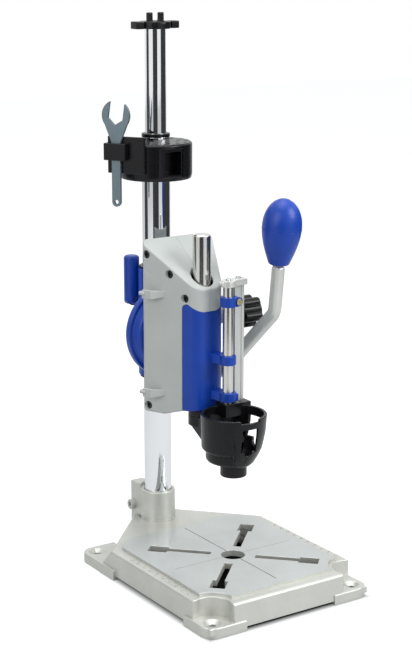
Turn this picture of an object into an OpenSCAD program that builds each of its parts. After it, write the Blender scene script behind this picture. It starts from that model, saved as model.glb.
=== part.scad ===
// Rotary tool drill stand: cast base, telescoping column, tilting rack-and-sector drill head.
// Millimetres, +Z up. Origin: centre of the four bench bolt holes, on the bench.

/* [Base casting] */
// Bench bolt spacing, side to side
bolt_dx = 146; // [138:1:160]
// Bench bolt spacing, front to back
bolt_dy = 189; // [184:1:200]
// Bench bolt hole diameter
bolt_d = 7; // [5:0.5:9]
// Radius of a foot around its bolt hole
foot_r = 12; // [11:0.5:14]
// Height of a foot
foot_h = 9.5; // [7:0.5:11]
// Length of a front foot's pad, inwards from its bolt hole
front_pad_l = 27; // [20:1:34]
// Length of a front foot's pad along the side wall
side_pad_l = 26; // [22:1:34]
// Length of a rear foot's pad along the side wall
rear_pad_l = 49; // [44:1:52]
// Length of the ramp from the side wall down to a rear foot
ramp_l = 16; // [10:1:20]
// Radius of the scoop in the wall above a front foot
scoop_r = 16.4; // [15.4:0.1:17.4]
// Height of the machined table
table_h = 28; // [25:0.5:34]
// Width of the machined table
table_w = 145; // [138:1:152]
// Table edge in front of the drill axis
table_front = 74; // [70:1:80]
// Table edge behind the drill axis
table_rear = 84; // [80:1:90]
// Cut across each rear table corner
table_clip = 15; // [12:1:20]
// Column axis to the slanted edges of the tail
tail_r = 23.8; // [22:0.2:26]
// Angle of the tail's edges from the table's rear edge
tail_a = 46.5; // [44:0.5:50]
// Thickness of the table
table_t = 6; // [4:0.5:8]
// Width of the ledge round the table
ledge_w = 10; // [8:0.5:12]
// Drop from the table to the ledge
ledge_drop = 2.5; // [1.5:0.5:5]
// Forward flare of the front wall
flare = 2.5; // [1:0.5:4]
// Thickness of the side walls
cast_t = 4.5; // [3:0.5:6]
// Gap under the side walls
skirt_gap = 3.5; // [1:0.5:5]
// Diameter of the hole under the drill
table_hole_d = 21; // [14:1:26]
// Width of a hold-down slot
slot_w = 7; // [6:0.5:9]
// Width of the slot's outer head
slot_head_w = 13; // [11:0.5:16]
// Length of the slot's outer head
slot_head_l = 17; // [12:1:24]
// Slot start, from the drill axis
slot_from = 20; // [17:0.5:26]
// Slot end, from the drill axis
slot_to = 76; // [66:1:80]
// Width of the engraved line along the table
line_w = 0.8; // [0.4:0.1:1.2]
// Depth of the engraved lines
line_depth = 0.5; // [0.3:0.1:1]
// Engraved line's reach in front of the drill axis
line_front = 64; // [50:1:70]
// Engraved line's reach behind the drill axis
line_rear = 78; // [60:1:82]
// Cross line's reach to each side of the drill axis
line_side = 62; // [50:1:70]

/* [Column] */
// Drill axis in front of the bolt pattern's centre
drill_front = 19; // [14:0.5:22]
// Column outside diameter
column_d = 25.4; // [24:0.1:27]
// Column wall
column_wall = 1.5; // [1.2:0.1:1.8]
// Column bottom end
column_foot = 12; // [8:1:16]
// Column top end
column_top = 384.5; // [370:0.5:420]
// Outside radius of the column socket at its top
socket_r = 15.8; // [15.5:0.1:18]
// Height of the column socket
socket_h = 54; // [46:1:64]
// Half width of the socket's pinch lugs
lug_half = 14; // [11:0.5:17]
// Rear face of the pinch lugs behind the column axis
lug_reach = 26; // [24:0.5:32]
// Width of a pinch slit
slit_w = 2; // [1:0.5:3]
// Pinch bolt above the ledge
pinch_up = 8.5; // [7:0.5:12]
// Pinch bolt diameter
pinch_d = 6; // [5:0.5:7]
// Telescoping mast diameter
mast_d = 19.05; // [18:0.05:20]
// Mast wall
mast_wall = 1.5; // [1.2:0.1:2]
// Mast top end
mast_top = 479; // [460:1:520]
// Mast length
mast_len = 330; // [300:1:350]
// Reach of a hanger arm
hanger_reach = 22; // [18:0.5:28]
// Thickness of the hanger plate
hanger_t = 6.5; // [5:0.5:9]
// Height of the hanger prongs
prong_h = 7.5; // [5:0.5:12]
// Width of a hanger prong
prong_w = 5; // [4:0.5:7]
// Notch between the hanger prongs
prong_gap = 6.5; // [5:0.5:9]
// Depth of a hanger prong, front to back
prong_t = 4; // [3:0.5:6]
// Width of a hanger arm
arm_w = 8; // [6:0.5:10]
// Length of the bar on a hanger arm's end
arm_end_l = 11; // [9:0.5:14]
// Rim of the hanger's middle outside the mast
hanger_rim = 4.5; // [3:0.5:6]

/* [Accessory ring] */
// Ring diameter
ring_d = 65; // [58:0.5:72]
// Ring bottom
ring_low = 348; // [344:0.5:352]
// Ring height
ring_h = 32.5; // [28:0.5:34]
// Number of bit holes in the outer row
bit_count = 14; // [6:1:16]
// Bit hole diameter
bit_d = 3.4; // [2.4:0.1:4]
// Width of the open pocket at the front
pocket_w = 16; // [12:0.5:18]
// Spanner thickness
spanner_t = 3; // [2:0.25:4]
// Spanner handle width
handle_w = 8.5; // [7:0.5:10]
// Spanner jaw opening
jaw_w = 14; // [11:0.5:16]
// Spanner sideways offset from the holder's middle
spanner_side = 21; // [19:0.5:24]

/* [Carriage] */
// Index disc diameter
disc_d = 86; // [80:1:92]
// Index disc depth, front to back
disc_t = 17; // [15:0.5:18]
// Column axis behind the index disc
column_set = 13.7; // [13.3:0.1:15]
// Sleeve outside radius
sleeve_r = 17; // [16.6:0.1:17.2]
// Sleeve bottom below the tilt axis
sleeve_drop = 45; // [43:1:50]
// Sleeve top above the tilt axis
sleeve_rise = 55; // [48:1:60]
// Wall of the sliding liner
liner_t = 1.2; // [1:0.1:1.3]
// Pivot bolt diameter
pivot_d = 10; // [8:0.5:12]
// Clamp bolt behind the column axis
clamp_reach = 20; // [19.5:0.25:22]
// Clamp bolt above the tilt axis
clamp_up = 25; // [19:1:30]
// Half thickness of the clamp ears
ear_half = 7; // [6:0.5:7.5]
// Clamp handle diameter
grip_d = 14.2; // [13:0.2:15]
// Clamp handle length above its pin
grip_l = 39; // [30:1:48]

/* [Drill head] */
// Quill diameter
quill_d = 15.875; // [15:0.125:17]
// Quill bottom end below the sector axis
quill_drop = 39.5; // [38.5:0.5:41]
// Quill length
quill_l = 169.5; // [160:0.5:180]
// Housing wall
wall = 3; // [2.4:0.1:3.4]
// Radius of the rounded nose
nose_r = 15; // [14:0.5:17]
// Flat width of the nose
nose_flat = 8; // [6:0.5:11]
// Gap between the tool cup and the nose
nose_gap = 8.2; // [7.5:0.1:10]
// Quill axis behind the nose
quill_set = 13; // [12.9:0.1:14]
// Housing width at the rear
rear_w = 72; // [66:1:76]
// Rear corner radius
corner_r = 6; // [4.5:0.5:8]
// Housing bottom at the rear, below the sector axis
housing_drop = 33; // [31:0.5:35]
// Housing bottom at the nose, below the sector axis
nose_drop = 25.5; // [23.5:0.5:27]
// Housing top at the rear, above the sector axis
housing_rise = 122.5; // [116:0.5:128]
// Housing top at the nose, above the sector axis
nose_rise = 83.5; // [78:0.5:90]
// Front cover edge behind the nose
cover_edge = 14; // [12:0.5:17]
// Front cover top above the sector axis
cover_rise = 63.5; // [57:0.5:66]
// Opening round the quill in the sloped top
throat_r = 10; // [9:0.5:11]
// Crease on the sides below the rear top edge
crease_rear = 26; // [20:1:32]
// Crease on the sides below the nose's top edge
crease_front = 8.7; // [6:0.1:12]
// Depth of the sides above the crease
crease_t = 0.5; // [0.3:0.1:0.8]
// Seam round the front covers
seam = 0.3; // [0.2:0.05:0.5]
// Housing screw diameter
screw_d = 3.2; // [2.5:0.1:4]
// Housing screw head diameter
screw_head_d = 7.2; // [6:0.1:7.6]
// Housing screw head height
screw_head_t = 2.4; // [2:0.1:3]

/* [Feed] */
// Pitch radius of the sector gear
sector_r = 22; // [21:0.25:22.5]
// Tooth module
tooth_m = 1.5; // [1.25:0.05:1.6]
// Sector axis height, which the whole head follows
sector_z = 177.5; // [170:0.5:190]
// Tilt axis above the sector axis
pivot_up = 33.5; // [32:0.5:38]
// Sector gear width
sector_w = 8; // [6:0.5:10]
// Sector hub wall round its shaft
hub_wall = 4; // [3:0.5:5]
// Room between the sector hub and the housing's rear wall
gear_room = 2.5; // [1:0.1:4]
// Sector shaft diameter
feed_d = 10; // [9:0.5:11]
// Lever mid plane from the centre plane
lever_x = 50; // [49:0.5:56]
// Lever thickness
lever_t = 9.5; // [8:0.5:11]
// Lever width
lever_w = 11; // [9:0.5:12]
// Lever elbow's bend radius
bend_r = 13; // [10:0.5:20]
// Lever elbow in front of the sector axis
elbow_front = 68; // [60:1:74]
// Lever elbow above the sector axis
elbow_up = 61.5; // [57:0.5:66]
// Lever neck in front of the sector axis
neck_front = 73; // [66:1:80]
// Lever neck above the sector axis
neck_up = 104.5; // [98:0.5:110]
// Lever knob greatest radius
knob_r = 17.3; // [14:0.5:18]
// Lever knob length
knob_l = 58; // [50:1:62]
// Bore for the lever's end in the knob, depth
knob_bore_l = 28; // [20:1:34]
// Lock knob radius
lock_r = 15; // [12:0.5:15.5]
// Lock knob length
lock_l = 25; // [20:1:30]
// Lock knob's neck length
lock_neck_l = 6; // [4:0.5:8]
// Lock knob's neck diameter
lock_neck_d = 15; // [12:0.5:17]
// Lock stud diameter
stud_d = 6; // [5:0.5:8]
// Lock knob above the sector axis
lock_up = 55.5; // [54:0.5:58]

/* [Tool cup and depth gauge] */
// Cup outside radius at the rim
cup_r = 28.8; // [27.5:0.1:29]
// Cup rim below the sector axis
cup_drop = 19; // [18.5:0.5:21]
// Cup wall
cup_t = 2.7; // [2.2:0.1:3.2]
// Depth of the notch in the rim
notch_t = 2.3; // [1:0.1:4]
// Cup spout outside radius
spout_r = 11.6; // [11.2:0.1:13]
// Tool nose bore diameter
nose_bore_d = 19; // [16:0.5:20]
// Cup height, spout included
cup_h = 56; // [52:0.5:60]
// Depth rod diameter
rod_d = 9.525; // [8:0.125:10]
// Depth rod sideways from the drill axis
rod_side = 10.2; // [9.5:0.1:11]
// Depth rod in front of the nose
rod_set = 13; // [12:0.1:13.5]
// Depth bar width
bar_w = 10; // [8:0.5:11]
// Depth bar thickness
bar_t = 5; // [4:0.25:6]
// Depth bar sideways from the drill axis
bar_side = 23.4; // [23:0.1:25]
// Depth bar in front of the nose
bar_set = 9; // [8:0.1:9.5]
// Gauge cap bottom above the sector axis
cap_rise = 87; // [83:0.5:90]
// Gauge cap thickness
cap_t = 5.5; // [4.5:0.5:8]
// Stop collar bottom above the sector axis
collar_rise = 69.5; // [69:0.1:71]
// Stop collar height
collar_h = 8.4; // [7:0.2:10]
// Upper guide lug top above the sector axis
lug_rise = 25.8; // [23:0.1:26]
// Lower guide lug top below the sector axis
lug_drop = 7.5; // [6:0.5:8]
// Guide lug height
lug_h = 8.3; // [7:0.1:9]

/* [Fits] */
// Radial clearance of a fitted or running round pair
fit = 0.05; // [0.02:0.01:0.09]
// Gap between faces that move past each other
air = 0.3; // [0.25:0.05:0.5]

/* [Hidden] */
$fn = 64;
far = 500;
blue = "#2342a8";
black = "#2e2f33";
grey = "#c4c8c6";
alloy = "#c6ccca";
chrome = "#dfe3e6";
steel = "#9aa3a9";
bronze = "#b08d57";

// Plan, as distances behind the drill axis: cup, nose, quill, sector, rear wall, disc, column
drill_y = -drill_front;
nose_front = cup_r + nose_gap;
quill_reach = nose_front + quill_set;
rack_reach = quill_reach + quill_d / 2 - tooth_m;
gear_hub_r = feed_d / 2 + hub_wall;
housing_back = rack_reach + sector_r + gear_hub_r + gear_room + wall;
cover_back = nose_front + cover_edge;
rod_reach = nose_front - rod_set;
bar_reach = nose_front - bar_set;
quill_y = drill_y + quill_reach;
back_y = drill_y + housing_back;
disc_front = back_y + air;
disc_back = disc_front + disc_t;
column_y = disc_back + column_set;

// Heights of the head and the carriage, from the sector axis
pivot_z = sector_z + pivot_up;
sleeve_low = pivot_z - sleeve_drop;
sleeve_high = pivot_z + sleeve_rise;
clamp_z = pivot_z + clamp_up;
grip_high = clamp_z + grip_l;
quill_low = sector_z - quill_drop;
quill_high = quill_low + quill_l;
housing_low = sector_z - housing_drop;
nose_low = sector_z - nose_drop;
housing_high = sector_z + housing_rise;
nose_high = sector_z + nose_rise;
cover_high = sector_z + cover_rise;
lock_z = sector_z + lock_up;
cup_high = sector_z - cup_drop;
spout_low = cup_high - cup_h;
cap_low = sector_z + cap_rise;
collar_low = sector_z + collar_rise;
lug_high = sector_z + lug_rise;
lug_low = sector_z - lug_drop;

// Base, tubes and rods
table_y0 = drill_y - table_front;
table_y1 = drill_y + table_rear;
deck_z = table_h - ledge_drop;
column_r = column_d / 2;
column_in = column_r - column_wall;
mast_r = mast_d / 2;
mast_low = mast_top - mast_len;
quill_r = quill_d / 2;
rod_r = rod_d / 2;

// Carriage: liner on the column, sleeve on the liner
liner_in = column_r + fit;
liner_out = liner_in + liner_t;
sleeve_in = liner_out + fit;
flange_t = 1.6;
flange_r = liner_out + 1.8;
clamp_y = column_y + clamp_reach;
clamp_bolt_r = 2.5;
clamp_pin_r = 2;
cam_r = 7.2;
cam_front = 3.8;
clamp_x = -(ear_half + air + cam_r);
eye_t = 5;
ear_low = clamp_z - 11;
ear_high = clamp_z + 13;

// Index detent: a sprung ball in the right housing half, over a ring of dimples
index_x = 12;
index_r = 30;
index_a = asin(index_x / index_r);
index_z = pivot_z + index_r * cos(index_a);
index_step = 15;
ball_r = 3;

// Housing outline: nose circle and rear corner circle, joined by their outer tangent
nose_c = [nose_flat / 2, nose_front + nose_r];
rear_c = [rear_w / 2 - corner_r, housing_back - corner_r];
join_d = rear_c - nose_c;
join_a = atan2(join_d.y, join_d.x) - acos((nose_r - corner_r) / norm(join_d));
face_p = nose_c + nose_r * [cos(join_a), sin(join_a)];
face_q = rear_c + corner_r * [cos(join_a), sin(join_a)];

// Feed: sector gear behind the quill, teeth of the rack cut into the quill
rack_y = drill_y + rack_reach;
sector_y = rack_y + sector_r;
tooth_p = PI * tooth_m;
tooth_a = 360 * tooth_p / (2 * PI * sector_r);
teeth_below = 2;
teeth_above = 10;
backlash = 0.2;
bush_wall = 1.6;
bush_r = quill_r + fit + bush_wall;
feed_r = feed_d / 2;
feed_bush_r = feed_r + 3;
side_at = side_x(sector_y - drill_y);
hub_r = 11;
hub_from = min(side_x(sector_y - drill_y + hub_r), rear_w / 2) + air;
hub_x1 = lever_x + lever_t / 2;
elbow = [sector_y - elbow_front, sector_z + elbow_up];
neck = [sector_y - neck_front, sector_z + neck_up];
knob_lean = 7;
knob_wide = 0.58;
lock_x0 = nose_c.x + nose_r + 14;
lock_boss_r = lock_neck_d / 2;

// Long screws across the two housing halves, as [behind the drill axis, height]
screw_r = screw_d / 2;
screw_head_r = screw_head_d / 2;
screw_at = [[housing_back - 7.5, housing_high - 12.5], [quill_reach + 13.2, nose_high + 11.4],
            [housing_back - 9.3, housing_low + 6.3]];
// Set screw that holds the upper bush from the left
bush_screw_at = [quill_reach - 1.5, nose_high - 8.3];
// Upper rear corner of the front covers, and the slope from it to their flat top
cover_corner_r = 4.5;
cover_corner_up = 2;
cover_slope_l = 14;
lug_r = rod_r + 2.4;

// Spanner holder: n points from the column to the holder's plane
holder_a = 214;
plate_n = ring_d / 2 + 0.5;
plate_t = 3;
spanner_n = plate_n + plate_t + air;
strap_n = spanner_n + spanner_t + air;
strap_low = 367;
strap_h = 15;
spanner_low = 330;
head_z = strap_low + strap_h + 24;

// Helpers
function arc(c, r, a0, a1, n) =
    [for (i = [0:n]) c + r * [cos(a0 + (a1 - a0) * i / n), sin(a0 + (a1 - a0) * i / n)]];
function backwards(p) = [for (i = [len(p) - 1:-1:0]) p[i]];
function mirrored(p) = [for (i = [len(p) - 1:-1:0]) [-p[i].x, p[i].y]];
// Half width of the housing's slanted side at a distance behind the drill axis
function side_x(y) = face_p.x + (face_q.x - face_p.x) * (y - face_p.y) / (face_q.y - face_p.y);
function half_outline(i) = concat(
    arc(nose_c, nose_r - i, -90, join_a, 12),
    arc(rear_c, corner_r - i, join_a, 90, 8));

module tube(r_out, r_in, z0, z1) {
    translate([0, 0, z0]) difference() {
        cylinder(r = r_out, h = z1 - z0);
        translate([0, 0, -1]) cylinder(r = r_in, h = z1 - z0 + 2);
    }
}
module along_x(r, x0, x1, y, z) {
    translate([x0, y, z]) rotate([0, 90, 0]) cylinder(r = r, h = x1 - x0);
}
module along_y(r, y0, y1, x, z) {
    translate([x, y0, z]) rotate([-90, 0, 0]) cylinder(r = r, h = y1 - y0);
}
module along_z(r, z0, z1, x, y) {
    translate([x, y, z0]) cylinder(r = r, h = z1 - z0);
}
module block(x0, x1, y0, y1, z0, z1) {
    translate([x0, y0, z0]) cube([x1 - x0, y1 - y0, z1 - z0]);
}
// A drawing in Y and Z, made solid from x0 to x1
module yz(x0, x1) {
    translate([x0, 0, 0]) rotate([90, 0, 90]) linear_extrude(x1 - x0) children();
}
// A drawing in X and Z, made solid from y0 to y1
module xz(y0, y1) {
    translate([0, y1, 0]) rotate([90, 0, 0]) linear_extrude(y1 - y0) children();
}
module bar2d(a, b, w) {
    d = b - a;
    translate(a) rotate(atan2(d.y, d.x)) translate([0, -w / 2]) square([norm(d), w]);
}

// Coil of round wire along +Z, one unbroken tube
coil_rings = 8;
coil_sides = 6;
function coil_mid(r, pitch, i) =
    [r * cos(360 * i / coil_rings), r * sin(360 * i / coil_rings), pitch * i / coil_rings];
function coil_point(r, wire, pitch, i, j) =
    let (a = 360 * i / coil_rings, b = 360 * j / coil_sides, m = coil_mid(r, pitch, i))
    m + wire * [cos(b) * cos(a), cos(b) * sin(a), sin(b)];
function coil_gap(r, wire, pitch, turns) = min([for (i = [0:coil_rings * (turns - 1)])
    norm(coil_mid(r, pitch, i) - coil_mid(r, pitch, i + coil_rings)) - 2 * wire]);
module coil(r, wire, pitch, turns) {
    n = coil_rings * turns;
    pts = [for (i = [0:n]) for (j = [0:coil_sides - 1]) coil_point(r, wire, pitch, i, j)];
    sides = [for (i = [0:n - 1]) for (j = [0:coil_sides - 1])
        let (a = i * coil_sides + j, b = i * coil_sides + (j + 1) % coil_sides)
        for (f = [[a, b, b + coil_sides], [a, b + coil_sides, a + coil_sides]]) f];
    last = n * coil_sides;
    ends = [for (j = [1:coil_sides - 2])
        for (f = [[0, j + 1, j], [last, last + j, last + j + 1]]) f];
    polyhedron(pts, concat(sides, ends));
}

// Base
side_w = table_w / 2 + ledge_w;
scoop_side = scoop_r - 0.9;
scoop_rim = 3.7;
// Height up the plan where a line parallel to a tail edge, at r from the column axis, passes x
function tail_y(r, x) = column_y + (r - x * sin(tail_a)) / cos(tail_a);
wall_end = tail_y(tail_r, side_w);
module skirt(i, z0, z1) {
    y0 = table_y0 - ledge_w + i;
    y1 = wall_end - 3 - i;
    intersection() {
        block(i - side_w, side_w - i, y0 - far, y1, z0, z1);
        yz(-far, far) polygon([[y0 - flare, z0], [y1 + far, z0], [y1 + far, z1], [y0, z1]]);
    }
}
module table_outline() {
    w = table_w / 2;
    c = table_clip;
    difference() {
        polygon([[-w, table_y0], [w, table_y0], [w, table_y1 - c], [w - c, table_y1],
            [-w + c, table_y1], [-w, table_y1 - c]]);
        for (s = [-1, 1]) translate([s * bolt_dx / 2, -bolt_dy / 2]) circle(r = scoop_r + scoop_rim);
    }
}
module at_bolts() {
    for (sx = [-1, 1]) for (sy = [-1, 1]) translate([sx * bolt_dx / 2, sy * bolt_dy / 2, 0]) children();
}
module at_front_bolts() {
    for (s = [0, 1]) mirror([s, 0, 0]) translate([bolt_dx / 2, -bolt_dy / 2, 0]) children();
}
// Pads joining the feet to the walls: along the sides and the front, and along the tail at the rear
module foot_pads() {
    at_front_bolts() {
        block(-front_pad_l, 0, -foot_r, foot_r, 0, foot_h);
        block(-foot_r, foot_r, 0, side_pad_l, 0, foot_h);
    }
    x = bolt_dx / 2;
    y = bolt_dy / 2;
    web_x = x - 25;
    for (s = [0, 1]) mirror([s, 0, 0]) linear_extrude(foot_h)
        polygon([[x + foot_r, y - rear_pad_l], [x + foot_r, y], [x, y], [x, y + foot_r],
            [web_x, y + foot_r], [web_x, tail_y(tail_r - 3, web_x)],
            [x - foot_r, tail_y(tail_r - 3, x - foot_r)], [x - foot_r, y - rear_pad_l]]);
}
// Ramps from the side walls' rear ends down to the rear feet
module rear_ramps() {
    for (s = [0, 1]) mirror([s, 0, 0]) yz(side_w - 20.5, side_w) polygon([[wall_end - ramp_l, skirt_gap],
        [wall_end + ramp_l, skirt_gap], [wall_end + ramp_l, foot_h], [wall_end, deck_z],
        [wall_end - ramp_l, deck_z]]);
}
// Notches over the front feet: a round back between the square ends of the walls
module scoops() {
    at_front_bolts() {
        cylinder(r = scoop_r, h = table_h);
        block(0, far, -far, scoop_side, 0, table_h);
        block(-scoop_side, far, -far, 0, 0, table_h);
    }
}
// Cross lines engraved through the drill axis
module engraved_lines() {
    z0 = table_h - line_depth;
    block(-line_w / 2, line_w / 2, drill_y - line_front, drill_y + line_rear, z0, table_h + 1);
    block(-line_side, line_side, drill_y - line_w / 4, drill_y + line_w / 4, z0, table_h + 1);
}
module tail_outline(i) {
    w = side_w - i;
    r = tail_r - i;
    t = [r * sin(tail_a), column_y + r * cos(tail_a)];
    y0 = wall_end - 12 - 2 * i;
    polygon([[-w, y0], [w, y0], [w, tail_y(r, w)], t, [-t.x, t.y], [-w, tail_y(r, w)]]);
    translate([0, column_y]) circle(r = r);
}
module slot2d() {
    translate([slot_from, -slot_w / 2]) square([slot_to - slot_from, slot_w]);
    translate([slot_to - slot_head_l, -slot_head_w / 2]) square([slot_head_l, slot_head_w]);
}
socket_bolt_y = column_y + (socket_r + lug_reach) / 2 + 1;
socket_bolt_z = deck_z + pinch_up;
socket_bolt_r = pinch_d / 2;
pinch_head_r = pinch_d * 0.8;
pinch_head_t = 4;
module base_casting() color(alloy) difference() {
    union() {
        difference() {
            union() {
                skirt(0, skirt_gap, deck_z);
                translate([0, 0, deck_z - 1]) linear_extrude(ledge_drop + 1) table_outline();
                translate([0, 0, skirt_gap]) linear_extrude(deck_z - skirt_gap) tail_outline(0);
            }
            skirt(cast_t, -1, table_h - table_t);
            translate([0, 0, -1]) linear_extrude(table_h - table_t + 1) tail_outline(cast_t);
        }
        intersection() {
            skirt(0, skirt_gap, deck_z);
            at_front_bolts() cylinder(r = scoop_r + cast_t, h = table_h);
        }
        at_bolts() cylinder(r = foot_r, h = foot_h);
        foot_pads();
        rear_ramps();
        translate([0, column_y, skirt_gap])
            cylinder(r1 = socket_r + 1.2, r2 = socket_r, h = socket_h - skirt_gap);
        block(-lug_half, lug_half, column_y, column_y + lug_reach, skirt_gap, socket_h + 3);
    }
    translate([0, 0, foot_h]) scoops();
    translate([0, 0, -1]) at_bolts() cylinder(d = bolt_d, h = foot_h + 2);
    translate([0, 0, foot_h - 3]) at_bolts() cylinder(d1 = bolt_d, d2 = bolt_d + 8, h = 3.01);
    translate([0, drill_y, -1]) {
        cylinder(d = table_hole_d, h = table_h + 2);
        for (a = [45:90:315]) rotate(a) linear_extrude(table_h + 2) slot2d();
    }
    along_z(column_r + fit, column_foot, far, 0, column_y);
    translate([0, column_y, socket_h]) cylinder(r = socket_r + 0.2, h = 10);
    block(-slit_w / 2, slit_w / 2, column_y, column_y + lug_reach + 1, deck_z + 3, socket_h + 4);
    engraved_lines();
    along_x(socket_bolt_r + fit, -lug_half - 1, lug_half + 1, socket_bolt_y, socket_bolt_z);
}
module column_tube() color(chrome) translate([0, column_y, 0])
    tube(column_r, column_in, column_foot + fit, column_top);
module socket_bolt() color(steel) {
    along_x(socket_bolt_r, -lug_half, lug_half + 7, socket_bolt_y, socket_bolt_z);
    difference() {
        along_x(pinch_head_r, -lug_half - pinch_head_t, -lug_half, socket_bolt_y, socket_bolt_z);
        translate([-lug_half - pinch_head_t - 1, socket_bolt_y, socket_bolt_z]) rotate([0, 90, 0])
            cylinder(r = pinch_d * 0.43, h = pinch_head_t, $fn = 6);
    }
}
module socket_nut() color(steel) difference() {
    translate([lug_half, socket_bolt_y, socket_bolt_z]) rotate([0, 90, 0])
        cylinder(r = 5.8, h = 5, $fn = 6);
    along_x(socket_bolt_r + fit, lug_half - 1, lug_half + 6, socket_bolt_y, socket_bolt_z);
}
module tube_bushing() color(black) translate([0, column_y, 0]) difference() {
    union() {
        along_z(column_in - fit, column_top - 25, column_top + 1, 0, 0);
        along_z(column_r, column_top, column_top + 3.2, 0, 0);
    }
    along_z(mast_r + fit, column_top - 30, column_top + 10, 0, 0);
}

// Accessory ring and spanner
ring_top = ring_low + ring_h;
pocket_low = ring_low + 5;
pocket_h = ring_h - 12;
pocket_depth = 12;
module accessory_ring() color(black) translate([0, column_y, 0]) difference() {
    union() {
        along_z(ring_d / 2, ring_low + 4, ring_top - 1.5, 0, 0);
        translate([0, 0, ring_low]) cylinder(r1 = ring_d / 2 - 1, r2 = ring_d / 2, h = 4);
        translate([0, 0, ring_top - 1.5]) cylinder(r1 = ring_d / 2, r2 = ring_d / 2 - 1.5, h = 1.5);
    }
    along_z(column_r + fit, ring_low - 1, ring_top + 1, 0, 0);
    for (i = [0:bit_count - 1]) rotate(i * 360 / bit_count)
        along_z(bit_d / 2, ring_top - 14, ring_top + 1, ring_d / 2 - 5, 0);
    for (i = [0:9]) rotate(18 + i * 36) along_z(bit_d / 2, ring_top - 14, ring_top + 1, ring_d / 2 - 12, 0);
    block(-pocket_w - 1, pocket_w / 2 + 1.5, -ring_d, -ring_d / 2 + 3.2, pocket_low - 1.5, ring_top - 4.5);
    block(-pocket_w / 2, pocket_w / 2, -ring_d, -ring_d / 2 + 3.2 + pocket_depth,
        pocket_low, pocket_low + pocket_h);
}
module in_holder() {
    translate([0, column_y, 0]) rotate(holder_a) children();
}
strap_side = handle_w / 2 + 3.2;
module spanner_holder() color(black) in_holder() difference() {
    s = -spanner_side;
    union() {
        block(plate_n, plate_n + plate_t, s - strap_side - 2, 5, ring_low + 7, ring_top + 7);
        block(plate_n - 8, plate_n + 0.5, -11, 5, ring_low + 9, ring_top - 2);
        difference() {
            block(plate_n + 1, strap_n + 3, s - strap_side - 3, s + strap_side + 3,
                strap_low, strap_low + strap_h);
            block(plate_n + plate_t, strap_n, s - strap_side, s + strap_side,
                strap_low - 1, strap_low + strap_h + 1);
        }
    }
    along_z(ring_d / 2 + fit, 0, far, 0, 0);
}
spanner_head_r = jaw_w / 2 + 6.3;
module spanner() color("#6f828d") in_holder()
    translate([spanner_n, -spanner_side, 0]) yz(0, spanner_t) difference() {
        union() {
            translate([0, spanner_low]) circle(d = handle_w);
            bar2d([0, spanner_low], [0, head_z - 8], handle_w);
            translate([0, head_z]) circle(r = spanner_head_r);
            polygon([[-handle_w / 2, strap_low + strap_h + air], [handle_w / 2, strap_low + strap_h + air],
                [spanner_head_r * 0.8, head_z - spanner_head_r * 0.6],
                [-spanner_head_r * 0.8, head_z - spanner_head_r * 0.6]]);
        }
        translate([0, spanner_low]) circle(d = handle_w * 0.45);
        translate([0, head_z]) rotate(-8) polygon([[-jaw_w / 2, 40], [-jaw_w / 2, -3], [0, -8.5],
            [jaw_w / 2, -3], [jaw_w / 2, 40]]);
        translate([0, head_z]) rotate(-8) translate([-40, spanner_head_r * 0.86]) square([80, 20]);
    }

// Mast
module mast_tube() color(chrome) translate([0, column_y, 0])
    tube(mast_r, mast_r - mast_wall, mast_low, mast_top);
module mast_guide() color(black) translate([0, column_y, 0]) difference() {
    along_z(column_in - fit, mast_low - 3, mast_low + 14, 0, 0);
    along_z(mast_r + fit, mast_low, mast_low + 20, 0, 0);
    along_z(mast_r - mast_wall, mast_low - 10, mast_low + 1, 0, 0);
}
module tool_hanger() color(black) translate([0, column_y, mast_top]) {
    along_z(mast_r - mast_wall - fit, -18, 0.5, 0, 0);
    difference() {
        union() {
            linear_extrude(hanger_t) {
                circle(r = mast_r + hanger_rim);
                for (s = [-1, 1]) {
                    bar2d([0, 0], [s * (hanger_reach - arm_w / 2), 0], arm_w);
                    translate([s * (hanger_reach - arm_w / 2), 0]) square([arm_w, arm_end_l], center = true);
                }
            }
            block(-prong_gap / 2 - prong_w, prong_gap / 2 + prong_w, -prong_t / 2, prong_t / 2, 0,
                hanger_t + prong_h);
        }
        translate([0, 0, hanger_t + prong_gap / 2 - 1]) along_y(prong_gap / 2, -20, 20, 0, 0);
        block(-prong_gap / 2, prong_gap / 2, -20, 20, hanger_t + prong_gap / 2 - 1, hanger_t + 30);
    }
}

// Carriage
module column_liner() color(black) translate([0, column_y, 0]) {
    tube(liner_out, liner_in, sleeve_low - air - flange_t, sleeve_high + air + flange_t);
    for (z = [sleeve_low - air - flange_t, sleeve_high + air]) tube(flange_r, liner_in, z, z + flange_t);
}
module index_disc() {
    r = disc_d / 2;
    translate([0, disc_front, pivot_z]) rotate([-90, 0, 0]) rotate_extrude()
        polygon([[0, 0], [r - 9, 0], [r - 6, 1.5], [r - 3.5, disc_t * 0.5], [r, disc_t * 0.5],
            [r, disc_t - 2], [r - 2, disc_t], [0, disc_t]]);
}
module column_bracket() color(blue) difference() {
    union() {
        index_disc();
        translate([0, column_y, 0]) along_z(sleeve_r, sleeve_low, sleeve_high, 0, 0);
        block(-sleeve_r + 2, sleeve_r - 2, disc_back - 8, column_y, pivot_z - disc_d / 2 + 4,
            pivot_z + disc_d / 2 - 4);
        block(-ear_half, ear_half, column_y + 10, clamp_y + 7, ear_low, ear_high);
    }
    along_z(sleeve_in, 0, far, 0, column_y);
    block(-slit_w / 2, slit_w / 2, column_y, clamp_y + 20, sleeve_low - 1, sleeve_high + 1);
    along_x(clamp_bolt_r + fit, -ear_half - 1, ear_half + 1, clamp_y, clamp_z);
    along_y(pivot_d / 2 + fit, disc_front - 1, pivot_end + fit, 0, pivot_z);
    for (i = [-6:6]) translate([0, disc_front - ball_r * 0.55, pivot_z])
        rotate([0, index_a + i * index_step, 0]) translate([0, 0, index_r]) sphere(r = ball_r);
}
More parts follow.
